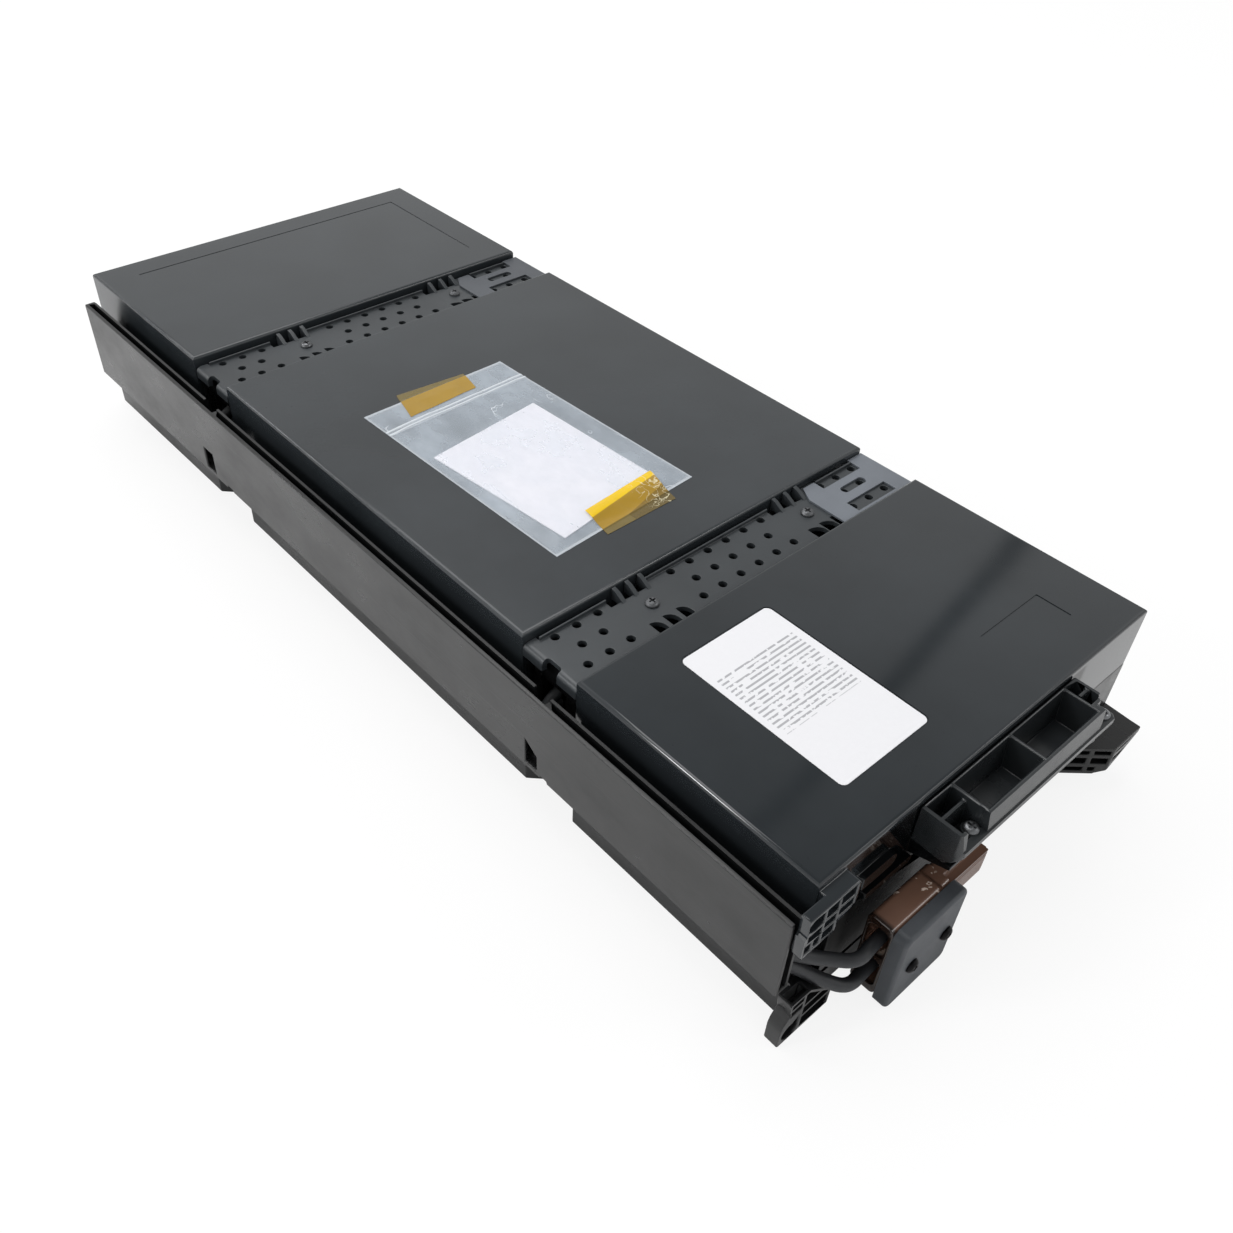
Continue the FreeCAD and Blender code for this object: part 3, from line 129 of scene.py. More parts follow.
# The zip's two ridges: how far behind its line each one runs, and how high it stands.
ZIP_RIDGES = ((0.0016, 0.00045), (-0.0010, 0.0005))
RIDGE_WIDTH = 0.0006
SEAM_INSET = 0.00176   # how far the pouch's welded seam reaches in from each corner

# Heights over the lids and thicknesses of the sheets, in metres.
POUCH_BACK = 0.00006
LEAFLET_TOP = 0.00066
LEAFLET_THICKNESS = 0.00045
TAPE_THICKNESS = 0.00008

# The label's printed rules: the shares of its width and depth that they cover, and their pitch.
PRINT_ACROSS = (0.06, 0.92)
PRINT_ALONG = (0.36, 0.80)
RULE_PITCH = 0.0021


def tone(red, green, blue):
    """A colour given as 0 to 255, as linear light."""
    def one(value):
        value /= 255
        return value / 12.92 if value <= 0.04045 else ((value + 0.055) / 1.055) ** 2.4
    return (one(red), one(green), one(blue))


# Colours that go with the ones that are picked.
PLUG_SCUFF = tone(214, 196, 182)
CONTACT_SILVER = tone(200, 196, 188)
PRINT_INK = tone(96, 98, 104)
# Painted glint on the pouch film.
FILM_GLINT = tone(236, 240, 244)
# The tape painted darker over the lid and the pouch: painted shade from the backing.
TAPE_SHADED_ON_LID = tone(124, 108, 60)
TAPE_SHADED_ON_POUCH = tone(176, 140, 44)
TAPE_FOLDED = tone(92, 74, 30)
# Painted glint on the tape's wrinkles.
TAPE_GLINT = tone(244, 236, 200)


# ---- settings ----
def colour(label, about, red, green, blue):
    return FloatVectorProperty(name=label, description=about, subtype="COLOR", size=3, min=0, max=1,
                               default=tone(red, green, blue))


def length(label, about, value):
    return FloatProperty(name=label, description=about, default=value, min=0, unit="LENGTH")


class CartridgeColours(bpy.types.PropertyGroup):
    tray: colour("Tray", "Moulded tray and its wire raceway", 29, 30, 31)
    lids: colour("Lids", "Polished lids", 40, 44, 47)
    strips: colour("Terminal covers", "Perforated covers between the lids", 50, 54, 57)
    brackets: colour("Brackets", "Painted sheet brackets", 112, 117, 124)
    handle: colour("Handle", "Moulded handle", 38, 41, 43)
    holder: colour("Plug holder", "Textured plate that holds the plug", 62, 66, 71)
    plug: colour("Plug", "Two-pole plug housing", 112, 84, 70)
    jacket: colour("Wire jacket", "Wires and leads", 40, 42, 45)
    zinc: colour("Zinc screws", "Cross-recess screws of the handle and covers", 150, 152, 155)
    black_screw: colour("Black screws", "Blackened screws", 30, 30, 31)
    case: colour("Block case", "Battery block cases", 70, 72, 74)
    tin: colour("Tabs and straps", "Tinned copper", 190, 188, 182)
    foam: colour("Foam", "Foam strips between the blocks", 58, 58, 58)
    paper: colour("Label", "Label stock", 230, 230, 233)
    leaflet: colour("Leaflet", "Folded leaflet in the pouch", 252, 248, 252)
    film: colour("Pouch film", "Clear film of the pouch", 196, 206, 216)
    tape: colour("Tape", "Amber film tape, where it lies over the leaflet", 246, 206, 18)
    floor: colour("Floor", "Plain floor", 250, 250, 250)


class CartridgeSizes(bpy.types.PropertyGroup):
    tray_edge: length("Tray edge", "Radius broken on the tray's edges", 0.00055)
    lid_edge: length("Lid edge", "Radius broken on the lids' edges", 0.0005)
    strip_edge: length("Terminal cover edge", "Radius broken on the terminal covers", 0.0002)
    bracket_edge: length("Bracket edge", "Radius broken on the sheet brackets", 0.00015)
    handle_edge: length("Handle edge", "Radius broken on the handle", 0.0006)
    plug_edge: length("Plug edge", "Radius broken on the plug housing", 0.0004)
    holder_edge: length("Holder edge", "Radius broken on the plug holder", 0.0004)
    screw_edge: length("Screw edge", "Radius broken on the screw heads", 0.00012)
    lead_diameter: length("Lead diameter", "Outer diameter of each lead", 0.0048)
    pouch_height: length("Pouch height", "How far the pouch stands over the lid", 0.0022)
    wrinkle: length("Wrinkle", "Height of the pouch's wrinkles", 0.00035)


class CartridgeSettings(bpy.types.PropertyGroup):
    colours: PointerProperty(type=CartridgeColours)
    sizes: PointerProperty(type=CartridgeSizes)


# ---- plan loops ----
def sides(loop):
    """Each side of a plan loop: a corner on it, and the direction square to it that points inward."""
    pairs = list(zip(loop, loop[1:] + loop[:1]))
    area = sum(a[0] * b[1] - b[0] * a[1] for a, b in pairs)
    for a, b in pairs:
        run = math.copysign(math.hypot(b[0] - a[0], b[1] - a[1]), area)
        yield a, (-(b[1] - a[1]) / run, (b[0] - a[0]) / run)


def edge_distance(loop, point):
    """How far inside a plan loop a point lies."""
    return min((point[0] - ax) * nx + (point[1] - ay) * ny for (ax, ay), (nx, ny) in sides(loop))


def blend(loop, u, v):
    """Point at u across and v along a plan quad, whose corners run round it."""
    a, b, c, d = (Vector(p) for p in loop)
    return a.lerp(d, u).lerp(b.lerp(c, u), v)


def shrunk(loop, inset):
    """A convex plan loop with its corners drawn in toward its middle."""
    corners = [Vector(point) for point in loop]
    middle = sum(corners, Vector((0, 0))) / len(corners)
    return [tuple(corner + (middle - corner) * inset / (middle - corner).length) for corner in corners]


def smooth_step(x):
    """A step from 0 to 1 that eases in and out."""
    x = max(0.0, min(1.0, x))
    return x * x * (3 - 2 * x)


# ---- finishes ----
def scaled(base, factor):
    """A colour made lighter or darker."""
    return tuple(min(1.0, c * factor) for c in base)


def join(tree, socket, value):
    """A socket linked to another, or set to a value."""
    if isinstance(value, bpy.types.NodeSocket):
        tree.links.new(value, socket)
    else:
        socket.default_value = value


def node(tree, kind, sockets, **options):
    """A shader node with its options, and its sockets linked or set."""
    made = tree.nodes.new("ShaderNode" + kind)
    for key, value in options.items():
        setattr(made, key, value)
    for name, value in sockets.items():
        join(tree, made.inputs[name], value)
    return made


class Finish:
    """A material while its nodes are put together."""

    def __init__(self, name, base, roughness, **sockets):
        self.material = bpy.data.materials.new(name)
        self.material.use_nodes = True
        self.tree = self.material.node_tree
        self.shader = self.tree.nodes["Principled BSDF"]
        self.set(**{"Base Color": (*base, 1), "Roughness": roughness, **sockets})
        self.place = self.tree.nodes.new("ShaderNodeTexCoord").outputs["Object"]
        self.normal = None

    def set(self, **values):
        """The shader's own sockets, linked or set."""
        for key, value in values.items():
            join(self.tree, self.shader.inputs[key], value)

    def paint(self, shade):
        self.set(**{"Base Color": shade})

    def add(self, kind, **values):
        return node(self.tree, kind, values).outputs[0]

    def axes(self):
        """The three coordinates of a point, in metres."""
        return self.add("SeparateXYZ", Vector=self.place).node.outputs

    def noise(self, scale, detail=3.0, stretch=(1, 1, 1), roughness=0.5, distortion=0.0):
        at = self.place
        if stretch != (1, 1, 1):
            at = self.add("Mapping", Vector=self.place, Scale=stretch)
        return self.add("TexNoise", Vector=at, Scale=scale, Detail=detail, Roughness=roughness,
                        Distortion=distortion)

    def spots(self, scale, size):
        """Round specks: 1 inside a speck, 0 outside."""
        near = self.add("TexVoronoi", Vector=self.place, Scale=scale)
        return self.band(near, size + 0.02, size)

    def band(self, value, start, end, low=0.0, high=1.0):
        """Value carried from start..end to low..high, with its ends held."""
        return self.add("MapRange", Value=value, **{"From Min": start, "From Max": end, "To Min": low,
                                                    "To Max": high})

    def math(self, operation, first, second=0.0):
        return node(self.tree, "Math", {0: first, 1: second}, operation=operation).outputs[0]

    def times(self, first, *others):
        """Values multiplied together."""
        for other in others:
            first = self.math("MULTIPLY", first, other)
        return first

    def away(self, value, middle):
        """How far a value is from a middle, on either side."""
        return self.math("ABSOLUTE", self.math("SUBTRACT", value, middle))

    def lines(self, scale, outer, inner, **how):
        """Thin wandering lines: 1 on a line, 0 beside it."""
        return self.band(self.away(self.noise(scale, 2, **how), 0.5), outer, inner)

    def mix(self, factor, first, second):
        """Two colours mixed by a factor."""
        def shade(value):
            return value if isinstance(value, bpy.types.NodeSocket) else (*value, 1)

        sockets = {0: factor, 6: shade(first), 7: shade(second)}
        return node(self.tree, "Mix", sockets, data_type="RGBA").outputs[2]

    def over(self, factor, shade):
        """Another colour laid over the base colour where factor is 1."""
        under = self.shader.inputs["Base Color"].links[0].from_socket
        self.paint(self.mix(factor, under, shade))

    def bump(self, height, strength, distance):
        values = {"Height": height, "Strength": strength, "Distance": distance}
        if self.normal is not None:
            values["Normal"] = self.normal
        self.normal = self.add("Bump", **values)
        self.set(Normal=self.normal)

    def inside(self, loop, soft=0.0002):
        """1 where a point lies over a convex plan loop."""
        x, y, _ = self.axes()
        whole = 1.0
        for (ax, ay), (nx, ny) in sides(loop):
            depth = self.math("ADD", self.times(x, nx), self.times(y, ny))
            depth = self.math("SUBTRACT", depth, ax * nx + ay * ny)
            whole = self.times(self.band(depth, -soft, soft), whole)
        return whole


def moulded(name, base, roughness, grain=0.15, wave=0.1, smudge=0.5, specks=0.0, scratches=0.0, **sockets):
    """Moulded plastic: uneven tone, smudges in the gloss, fine grain and a slow waviness."""
    mat = Finish(name, base, roughness, **sockets)
    cloud = mat.noise(14, 4, roughness=0.6)
    tint = mat.mix(mat.band(cloud, 0.35, 0.68), scaled(base, 0.86), scaled(base, 1.16))
    if specks:
        tint = mat.mix(mat.times(mat.spots(260, 0.055), specks), tint, scaled(base, 0.3))
    if scratches:
        streak = mat.noise(5, 2, stretch=(60, 1.2, 60), roughness=0.75)
        streak = mat.times(mat.band(streak, 0.60, 0.72), scratches)
        tint = mat.mix(streak, tint, scaled(base, 1.9))
        mat.bump(streak, 0.12, 0.0002)
    mat.paint(tint)
    film = mat.noise(30, 5, stretch=(1, 0.5, 1), roughness=0.65)
    mat.set(Roughness=mat.band(film, 0.3, 0.72, roughness * (1 - 0.5 * smudge),
                               roughness * (1 + 0.5 * smudge)))
    if wave:
        mat.bump(mat.noise(9, 1), wave, 0.004)
    if grain:
        mat.bump(mat.noise(2600, 2), grain, 0.00012)
    return mat


def painted_front_shade(mat, base):
    """Painted shade: the front wall under the handle, between the ears, painted darker and duller where it
    lies in shadow.
    """
    x, y, z = mat.axes()
    shaded_wall = mat.times(mat.band(y, *SHADE_PATCH_BACK), mat.band(z, *SHADE_PATCH_TOP), mat.band(x, *SHADE_PATCH_LEFT),
                     mat.band(x, *SHADE_PATCH_RIGHT))
    # Painted shade: near black where the wall lies in shadow, with its gloss turned down.
    mat.over(shaded_wall, scaled(base, 0.15))
    mat.set(**{"Specular IOR Level": mat.band(shaded_wall, 0, 1, 0.5, 0.12)})


def metal(name, base, roughness, stretch=(1, 1, 1), scale=500):
    """Metal with a fine brushed or plated unevenness."""
    mat = Finish(name, base, roughness, Metallic=1.0)
    fine = mat.noise(scale, 4, stretch=stretch, roughness=0.7)
    mat.paint(mat.mix(fine, scaled(base, 0.7), scaled(base, 1.2)))
    mat.set(Roughness=mat.band(mat.noise(120, 3), 0.3, 0.7, roughness * 0.7, roughness * 1.4))
    mat.bump(fine, 0.15, 0.0001)
    return mat


# ---- making pieces ----
def finished(name, bm, finish, smooth=40.0):
    """The mesh as a piece that rides on the cartridge, with its finish."""
    mesh = bpy.data.meshes.new(name)
    for edge in bm.edges:
        edge.smooth = len(edge.link_faces) == 2 and edge.calc_face_angle(0) < math.radians(smooth)
    for face in bm.faces:
        face.smooth = True
    bm.to_mesh(mesh)
    bm.free()
    piece = bpy.data.objects.new(name, mesh)
    bpy.context.scene.collection.objects.link(piece)
    mesh.materials.append(finish)
    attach(piece, "root")
    return piece


def broken_edges(bm, radius):
    """Sharp edges that have room on both sides for a broken edge of that radius."""
    def direction(edge):
        return (edge.verts[1].co - edge.verts[0].co).normalized()

    limit = math.cos(math.radians(RUN_ON))
    sharp = math.radians(SHARP_TURN)
    picked = {e for e in bm.edges if len(e.link_faces) == 2 and e.calc_face_angle(0) > sharp}
    again = True
    while again:
        again = False
        for edge in sorted(picked, key=lambda e: e.index):
            way = direction(edge)
            for vert in edge.verts:
                for other in vert.link_edges:
                    if other is edge or other.calc_length() > EDGE_ROOM * radius:
                        continue
                    if other in picked and abs(direction(other).dot(way)) > limit:
                        continue
                    picked.discard(edge)
                    again = True
    return sorted(picked, key=lambda e: e.index)


def dressed(name, finish, radius):
    """A piece of the frame node's own shape, with its sharp edges slightly rounded."""
    bm = bmesh.new()
    bm.from_mesh(NODES[name].data)
    bmesh.ops.remove_doubles(bm, verts=bm.verts, dist=MERGE_GAP)
    bmesh.ops.dissolve_limit(bm, angle_limit=math.radians(FLAT_TURN), verts=bm.verts, edges=bm.edges)
    bmesh.ops.triangulate(bm, faces=[face for face in bm.faces if len(face.verts) > BIG_FACE])
    bm.edges.index_update()
    edges = broken_edges(bm, radius)
    bmesh.ops.bevel(bm, geom=edges, offset=radius, offset_type="OFFSET", segments=2, profile=0.5,
                    affect="EDGES", material=-1)
    piece = finished(name + "_piece", bm, finish)
    weigh = piece.modifiers.new("Weighted normals", "WEIGHTED_NORMAL")
    weigh.keep_sharp = True
    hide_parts(name)
    return piece


def repaint(name, finish):
    """A frame node keeps its shape and gets its finish."""
    for slot in NODES[name].material_slots:
        slot.material = finish


class CartridgeStep:
    """Makes a step's pieces with the colours and sizes that the scene holds."""
    bl_options = {"REGISTER", "UNDO"}

    def execute(self, context):
        self.make(context.scene.cartridge.colours, context.scene.cartridge.sizes)
        return {"FINISHED"}


# ---- stage ----
def seen_share(tree, camera=1.0, gloss=1.0):
    """How much of the white backdrop the camera, and gloss and glass, see."""
    path = node(tree, "LightPath", {}).outputs
    total = 0.0
    for name, share in (("Is Camera Ray", camera), ("Is Glossy Ray", gloss),
                        ("Is Transmission Ray", gloss)):
        total = node(tree, "Math", {0: path[name], 1: share, 2: total}, operation="MULTIPLY_ADD").outputs[0]
    return total


def eased(tree, value, start, end):
    """A value carried smoothly from one range to another, with its ends held."""
    sockets = {"Value": value, "From Min": start[0], "From Max": start[1], "To Min": end[0], "To Max": end[1]}
    return node(tree, "MapRange", sockets, interpolation_type="SMOOTHSTEP").outputs[0]


class CARTRIDGE_OT_stage(CartridgeStep, bpy.types.Operator):
    """Floor, soft light and the camera."""
    bl_idname = "cartridge.stage"
    bl_label = "Stage"

    def make(self, colours, sizes):
        scene = bpy.context.scene
        scene.view_settings.view_transform = "Standard"
        camera = bpy.data.objects.new("camera", bpy.data.cameras.new("camera"))
        camera.data.lens = CAMERA_LENS
        camera.data.sensor_width = CAMERA_SENSOR
        turned = Matrix((CAMERA_RIGHT, CAMERA_UP, CAMERA_BACK)).transposed().to_4x4()
        camera.matrix_world = Matrix.Translation(CAMERA_PLACE) @ turned
        scene.collection.objects.link(camera)
        scene.camera = camera
        self.floor(colours.floor)
        self.world()
        for name, (place, width, height, power) in LAMPS.items():
            self.lamp(name, place, width, height, power)

    def floor(self, base):
        bm = bmesh.new()
        bmesh.ops.create_grid(bm, x_segments=1, y_segments=1, size=FLOOR_REACH)
        mesh = bpy.data.meshes.new("floor")
        bm.to_mesh(mesh)
        bm.free()
        floor = bpy.data.objects.new("floor", mesh)
        bpy.context.scene.collection.objects.link(floor)
        material = bpy.data.materials.new("pale floor")
        material.use_nodes = True
        tree = material.node_tree
        tree.nodes.clear()
        matt = node(tree, "BsdfDiffuse", {"Color": (*base, 1)}).outputs[0]
        glow = node(tree, "Emission", {}).outputs[0]
        mixed = node(tree, "MixShader", {0: seen_share(tree, *FLOOR_SEEN), 1: matt, 2: glow})
        node(tree, "OutputMaterial", {0: mixed.outputs[0]})
        mesh.materials.append(material)

    def world(self):
        """White to the camera; gloss sees it fade overhead, with one dark seam across it."""
        world = bpy.data.worlds.new("studio")
        bpy.context.scene.world = world
        world.use_nodes = True
        tree = world.node_tree
        tree.nodes.clear()
        way = node(tree, "TexCoord", {}).outputs["Generated"]
        height = node(tree, "SeparateXYZ", {0: way}).outputs[2]
        fade = eased(tree, height, DIM_BETWEEN, (1.0, DIM_TO))
        across = node(tree, "VectorMath", {0: way, 1: SEAM_ACROSS}, operation="DOT_PRODUCT")
        beside = node(tree, "Math", {0: across.outputs["Value"], 1: SEAM_PLACE}, operation="SUBTRACT")
        off = node(tree, "Math", {0: beside.outputs[0]}, operation="ABSOLUTE")
        seam = eased(tree, off.outputs[0], SEAM_FADE, (SEAM_DARK, 1.0))
        gloss = node(tree, "Math", {0: fade, 1: seam}, operation="MULTIPLY")
        camera = node(tree, "LightPath", {}).outputs["Is Camera Ray"]
        strength = node(tree, "Mix", {0: camera, 2: gloss.outputs[0], 3: 1.0})
        seen = node(tree, "Background", {"Strength": strength.outputs[0]})
        light = node(tree, "Background", {"Strength": ROOM_LIGHT})
        mixed = node(tree, "MixShader", {0: seen_share(tree), 1: light.outputs[0], 2: seen.outputs[0]})
        node(tree, "OutputWorld", {0: mixed.outputs[0]})

    def lamp(self, name, place, width, height, power):
        data = bpy.data.lights.new(name, "AREA")
        data.shape = "RECTANGLE"
        data.size = width
        data.size_y = height
        data.energy = power
        lamp = bpy.data.objects.new(name, data)
        lamp.location = place
        lamp.rotation_euler = Vector(place).to_track_quat("Z", "Y").to_euler()
        bpy.context.scene.collection.objects.link(lamp)


# ---- leads and plug ----
class CARTRIDGE_OT_leads(CartridgeStep, bpy.types.Operator):
    """The two leads from the raceway's front end to the plug."""
    bl_idname = "cartridge.leads"
    bl_label = "Leads"

    def make(self, colours, sizes):
        jacket = moulded("wire jacket", colours.jacket, 0.5, grain=0.35, wave=0, smudge=0.4, specks=0.3)
        for name, route in LEAD_ROUTES.items():
            curve = bpy.data.curves.new(name, "CURVE")
            curve.dimensions = "3D"
            curve.resolution_u = 14
            curve.bevel_depth = sizes.lead_diameter / 2
            curve.bevel_resolution = 7
            curve.use_fill_caps = True
            spline = curve.splines.new("NURBS")
            spline.points.add(len(route) - 1)
            for point, at in zip(spline.points, route):
                point.co = (*at, 1)
            spline.order_u = 3
            spline.use_endpoint_u = True
            curve.materials.append(jacket.material)
            lead = bpy.data.objects.new(name + "_piece", curve)
            bpy.context.scene.collection.objects.link(lead)
            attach(lead, "root")
            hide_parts(name)


class CARTRIDGE_OT_plug(CartridgeStep, bpy.types.Operator):
    """Two-pole plug housing and its contacts."""
    bl_idname = "cartridge.plug"
    bl_label = "Plug"

    def make(self, colours, sizes):
        brown = moulded("plug plastic", colours.plug, 0.24, grain=0.04, wave=0.15, smudge=0.5)
        chip = brown.noise(330, 2, roughness=0.6)
        scuff = brown.times(brown.band(chip, 0.62, 0.66), brown.band(brown.noise(60, 1), 0.57, 0.63))
        brown.over(scuff, PLUG_SCUFF)
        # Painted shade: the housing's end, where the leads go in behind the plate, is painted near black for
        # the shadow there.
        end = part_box("connector_housing")[0][0]
        brown.over(brown.band(brown.axes()[0], end + 0.0025, end + 0.001), scaled(colours.plug, 0.12))
        dressed("connector_housing", brown.material, sizes.plug_edge)
        repaint("connector_contacts", metal("silvered contacts", CONTACT_SILVER, 0.3).material)


class CARTRIDGE_OT_plug_holder(CartridgeStep, bpy.types.Operator):
    """Textured plate on the front of the plug."""
    bl_idname = "cartridge.plug_holder"
    bl_label = "Plug holder"

    def make(self, colours, sizes):
        mat = moulded("holder plastic", colours.holder, 0.55, grain=0.6, wave=0.05, smudge=0.3, specks=0.2)
        dressed("connector_holder", mat.material, sizes.holder_edge)


class CARTRIDGE_OT_screws(CartridgeStep, bpy.types.Operator):
    """Cross-recess screws of the terminal covers, handle and plug holder."""
    bl_idname = "cartridge.screws"
    bl_label = "Screws"

    def make(self, colours, sizes):
        zinc = metal("zinc plating", scaled(colours.zinc, SHADES["zinc"]), 0.34, scale=900)
        dull = metal("dull zinc plating", scaled(colours.zinc, SHADES["dull zinc"]), 0.5, scale=900)
        black = metal("blackened screw", colours.black_screw, 0.38, scale=900)
        for name, mat, slot in (("cover_screws", dull, "screw_metal"), ("handle_screws", zinc, "screw_metal"),
                                ("holder_screws", black, "black_screw")):
            dressed(name, mat.material, sizes.screw_edge)


# ---- tray, lids and covers ----
class CARTRIDGE_OT_tray(CartridgeStep, bpy.types.Operator):
    """Tray with the wire raceway along its side and the two front feet."""
    bl_idname = "cartridge.tray"
    bl_label = "Tray"

    def make(self, colours, sizes):
        base = scaled(colours.tray, SHADES["tray"])
        mat = moulded("tray plastic", base, 0.32, grain=0.05, wave=0.16, smudge=0.7, specks=0.7,
                      scratches=0.55)
        # Painted shade on the front wall under the handle.
        painted_front_shade(mat, base)
        dressed("base_tray", mat.material, sizes.tray_edge)


class CARTRIDGE_OT_lids(CartridgeStep, bpy.types.Operator):
    """The three polished lids."""
    bl_idname = "cartridge.lids"
    bl_label = "Lids"

    def make(self, colours, sizes):
        front = moulded("front lid plastic", colours.lids, 0.07, grain=0, wave=0.06, smudge=0.5, specks=0.25)
        # Painted shade on the front lid's front wall under the handle.
        painted_front_shade(front, colours.lids)
        satin = moulded("lid plastic", scaled(colours.lids, SHADES["satin lids"]), 0.24, grain=0.02,
                        wave=0.09, smudge=0.3, specks=0.25)
        for name, mat in (("cover_front", front), ("cover_middle", satin), ("cover_rear", satin)):
            dressed(name, mat.material, sizes.lid_edge)


class CARTRIDGE_OT_terminal_covers(CartridgeStep, bpy.types.Operator):
    """Perforated covers over the terminals, between the lids."""
    bl_idname = "cartridge.terminal_covers"
    bl_label = "Terminal covers"

    def make(self, colours, sizes):
        mat = moulded("terminal cover plastic", colours.strips, 0.38, grain=0.2, wave=0.08, smudge=0.5)
        for name in ("terminal_cover_front", "terminal_cover_rear"):
            dressed(name, mat.material, sizes.strip_edge)


class CARTRIDGE_OT_brackets(CartridgeStep, bpy.types.Operator):
    """Sheet brackets at the right end of each terminal cover."""
    bl_idname = "cartridge.brackets"
    bl_label = "Brackets"

    def make(self, colours, sizes):
        for end in ("front", "rear"):
            base = scaled(colours.brackets, SHADES[end + " bracket"])
            mat = moulded("bracket " + end + " coating", base, 0.42, grain=0.25, wave=0.05, smudge=0.4,
                          Metallic=0.25)
            dressed("side_bracket_" + end, mat.material, sizes.bracket_edge)


class CARTRIDGE_OT_handle(CartridgeStep, bpy.types.Operator):
    """Pull handle with two finger pockets."""
    bl_idname = "cartridge.handle"
    bl_label = "Handle"

    def make(self, colours, sizes):
        mat = moulded("handle plastic", colours.handle, 0.26, grain=0.05, wave=0.12, smudge=0.6, specks=0.3)
        dressed("handle", mat.material, sizes.handle_edge)


# ---- what the tray holds ----
class CARTRIDGE_OT_blocks(CartridgeStep, bpy.types.Operator):
    """The eight sealed blocks, their tabs and links."""
    bl_idname = "cartridge.blocks"
    bl_label = "Blocks"

    def make(self, colours, sizes):
        case = moulded("block case", colours.case, 0.5, grain=0.4, wave=0.1, smudge=0.3, scratches=0.2)
        for number in range(1, 9):
            repaint("battery_block_%d" % number, case.material)
        repaint("battery_terminals", metal("tinned tab", colours.tin, 0.35).material)
        repaint("link_straps", metal("tinned strap", colours.tin, 0.4, stretch=(1, 6, 1)).material)


class CARTRIDGE_OT_foam(CartridgeStep, bpy.types.Operator):
    """Foam strips that keep the blocks apart, squeezed a little at their faces."""
    bl_idname = "cartridge.foam"
    bl_label = "Foam strips"

    def make(self, colours, sizes):
        mat = Finish("foam", colours.foam, 0.95)
        cells = mat.add("TexVoronoi", Vector=mat.place, Scale=900)
        mat.paint(mat.mix(mat.band(cells, 0.1, 0.6), scaled(colours.foam, 0.45), scaled(colours.foam, 1.2)))
        mat.bump(cells, 0.8, 0.0004)
        piece = dressed("foam_pads", mat.material, 0.0004)


class CARTRIDGE_OT_harness(CartridgeStep, bpy.types.Operator):
    """Wires that lie in the raceway."""
    bl_idname = "cartridge.harness"
    bl_label = "Raceway wires"

    def make(self, colours, sizes):
        repaint("raceway_harness", bpy.data.materials["wire jacket"])


# ---- label, pouch, leaflet and tapes ----
def sheet_grid(loop, across, along, height):
    """A grid laid over a plan quad; height gives each point's height from its plan place."""
    bm = bmesh.new()
    bmesh.ops.create_grid(bm, x_segments=across, y_segments=along, size=0.5)
    for vert in bm.verts:
        spot = blend(loop, vert.co.x + 0.5, vert.co.y + 0.5)
        vert.co = (*spot, height(spot))
    bmesh.ops.recalc_face_normals(bm, faces=bm.faces)
    if sum(f.normal.z for f in bm.faces) < 0:
        bmesh.ops.reverse_faces(bm, faces=bm.faces)
    return bm


def thickened(bm, depth):
    """A sheet given a back at depth below it, closed all round."""
    rim = [e for e in bm.edges if e.is_boundary]
    copy = bmesh.ops.duplicate(bm, geom=bm.verts[:] + bm.edges[:] + bm.faces[:])
    low = [g for g in copy["geom"] if isinstance(g, bmesh.types.BMVert)]
    for vert in low:
        vert.co.z = depth(vert.co)
    bmesh.ops.reverse_faces(bm, faces=[g for g in copy["geom"] if isinstance(g, bmesh.types.BMFace)])
    edges = [g for g in copy["geom"] if isinstance(g, bmesh.types.BMEdge) and g.is_boundary]
    bmesh.ops.bridge_loops(bm, edges=rim + edges)


def pouch_height(point, high, wrinkle):
    """Height of the pouch's upper film over the lid."""
    x, y = point
    rim = edge_distance(POUCH, point)
    behind = y - (ZIP_PLACE + ZIP_SLOPE * x)
    fill = smooth_step((rim - 0.0005) / 0.008) * smooth_step(-behind / 0.012 + 0.4)
    paper = smooth_step((edge_distance(LEAFLET, point) + 0.004) / 0.006)
    swell = high * (0.42 * fill + 0.20 * paper * fill)
    folds = noise.noise(Vector((x * 55, y * 30, 1.3)))
    folds += 0.6 * noise.noise(Vector((x * 120 + y * 60, y * 40, 7.1)))
    folds += 0.8 * abs(noise.noise(Vector((x * 26 - y * 34, x * 14 + y * 20, 3.7))))
    loose = smooth_step(rim / 0.006) * (1 - 0.55 * paper)
    top = 0.00022 + swell + wrinkle * folds * loose
    for place, rise in ZIP_RIDGES:
        top += rise * math.exp(-((behind - place) / RIDGE_WIDTH) ** 2)
    top += 0.0004 * smooth_step(behind / 0.02) * (0.5 + noise.noise(Vector((x * 60, y * 20, 5.0))))
    return max(0.00016, min(top, high))


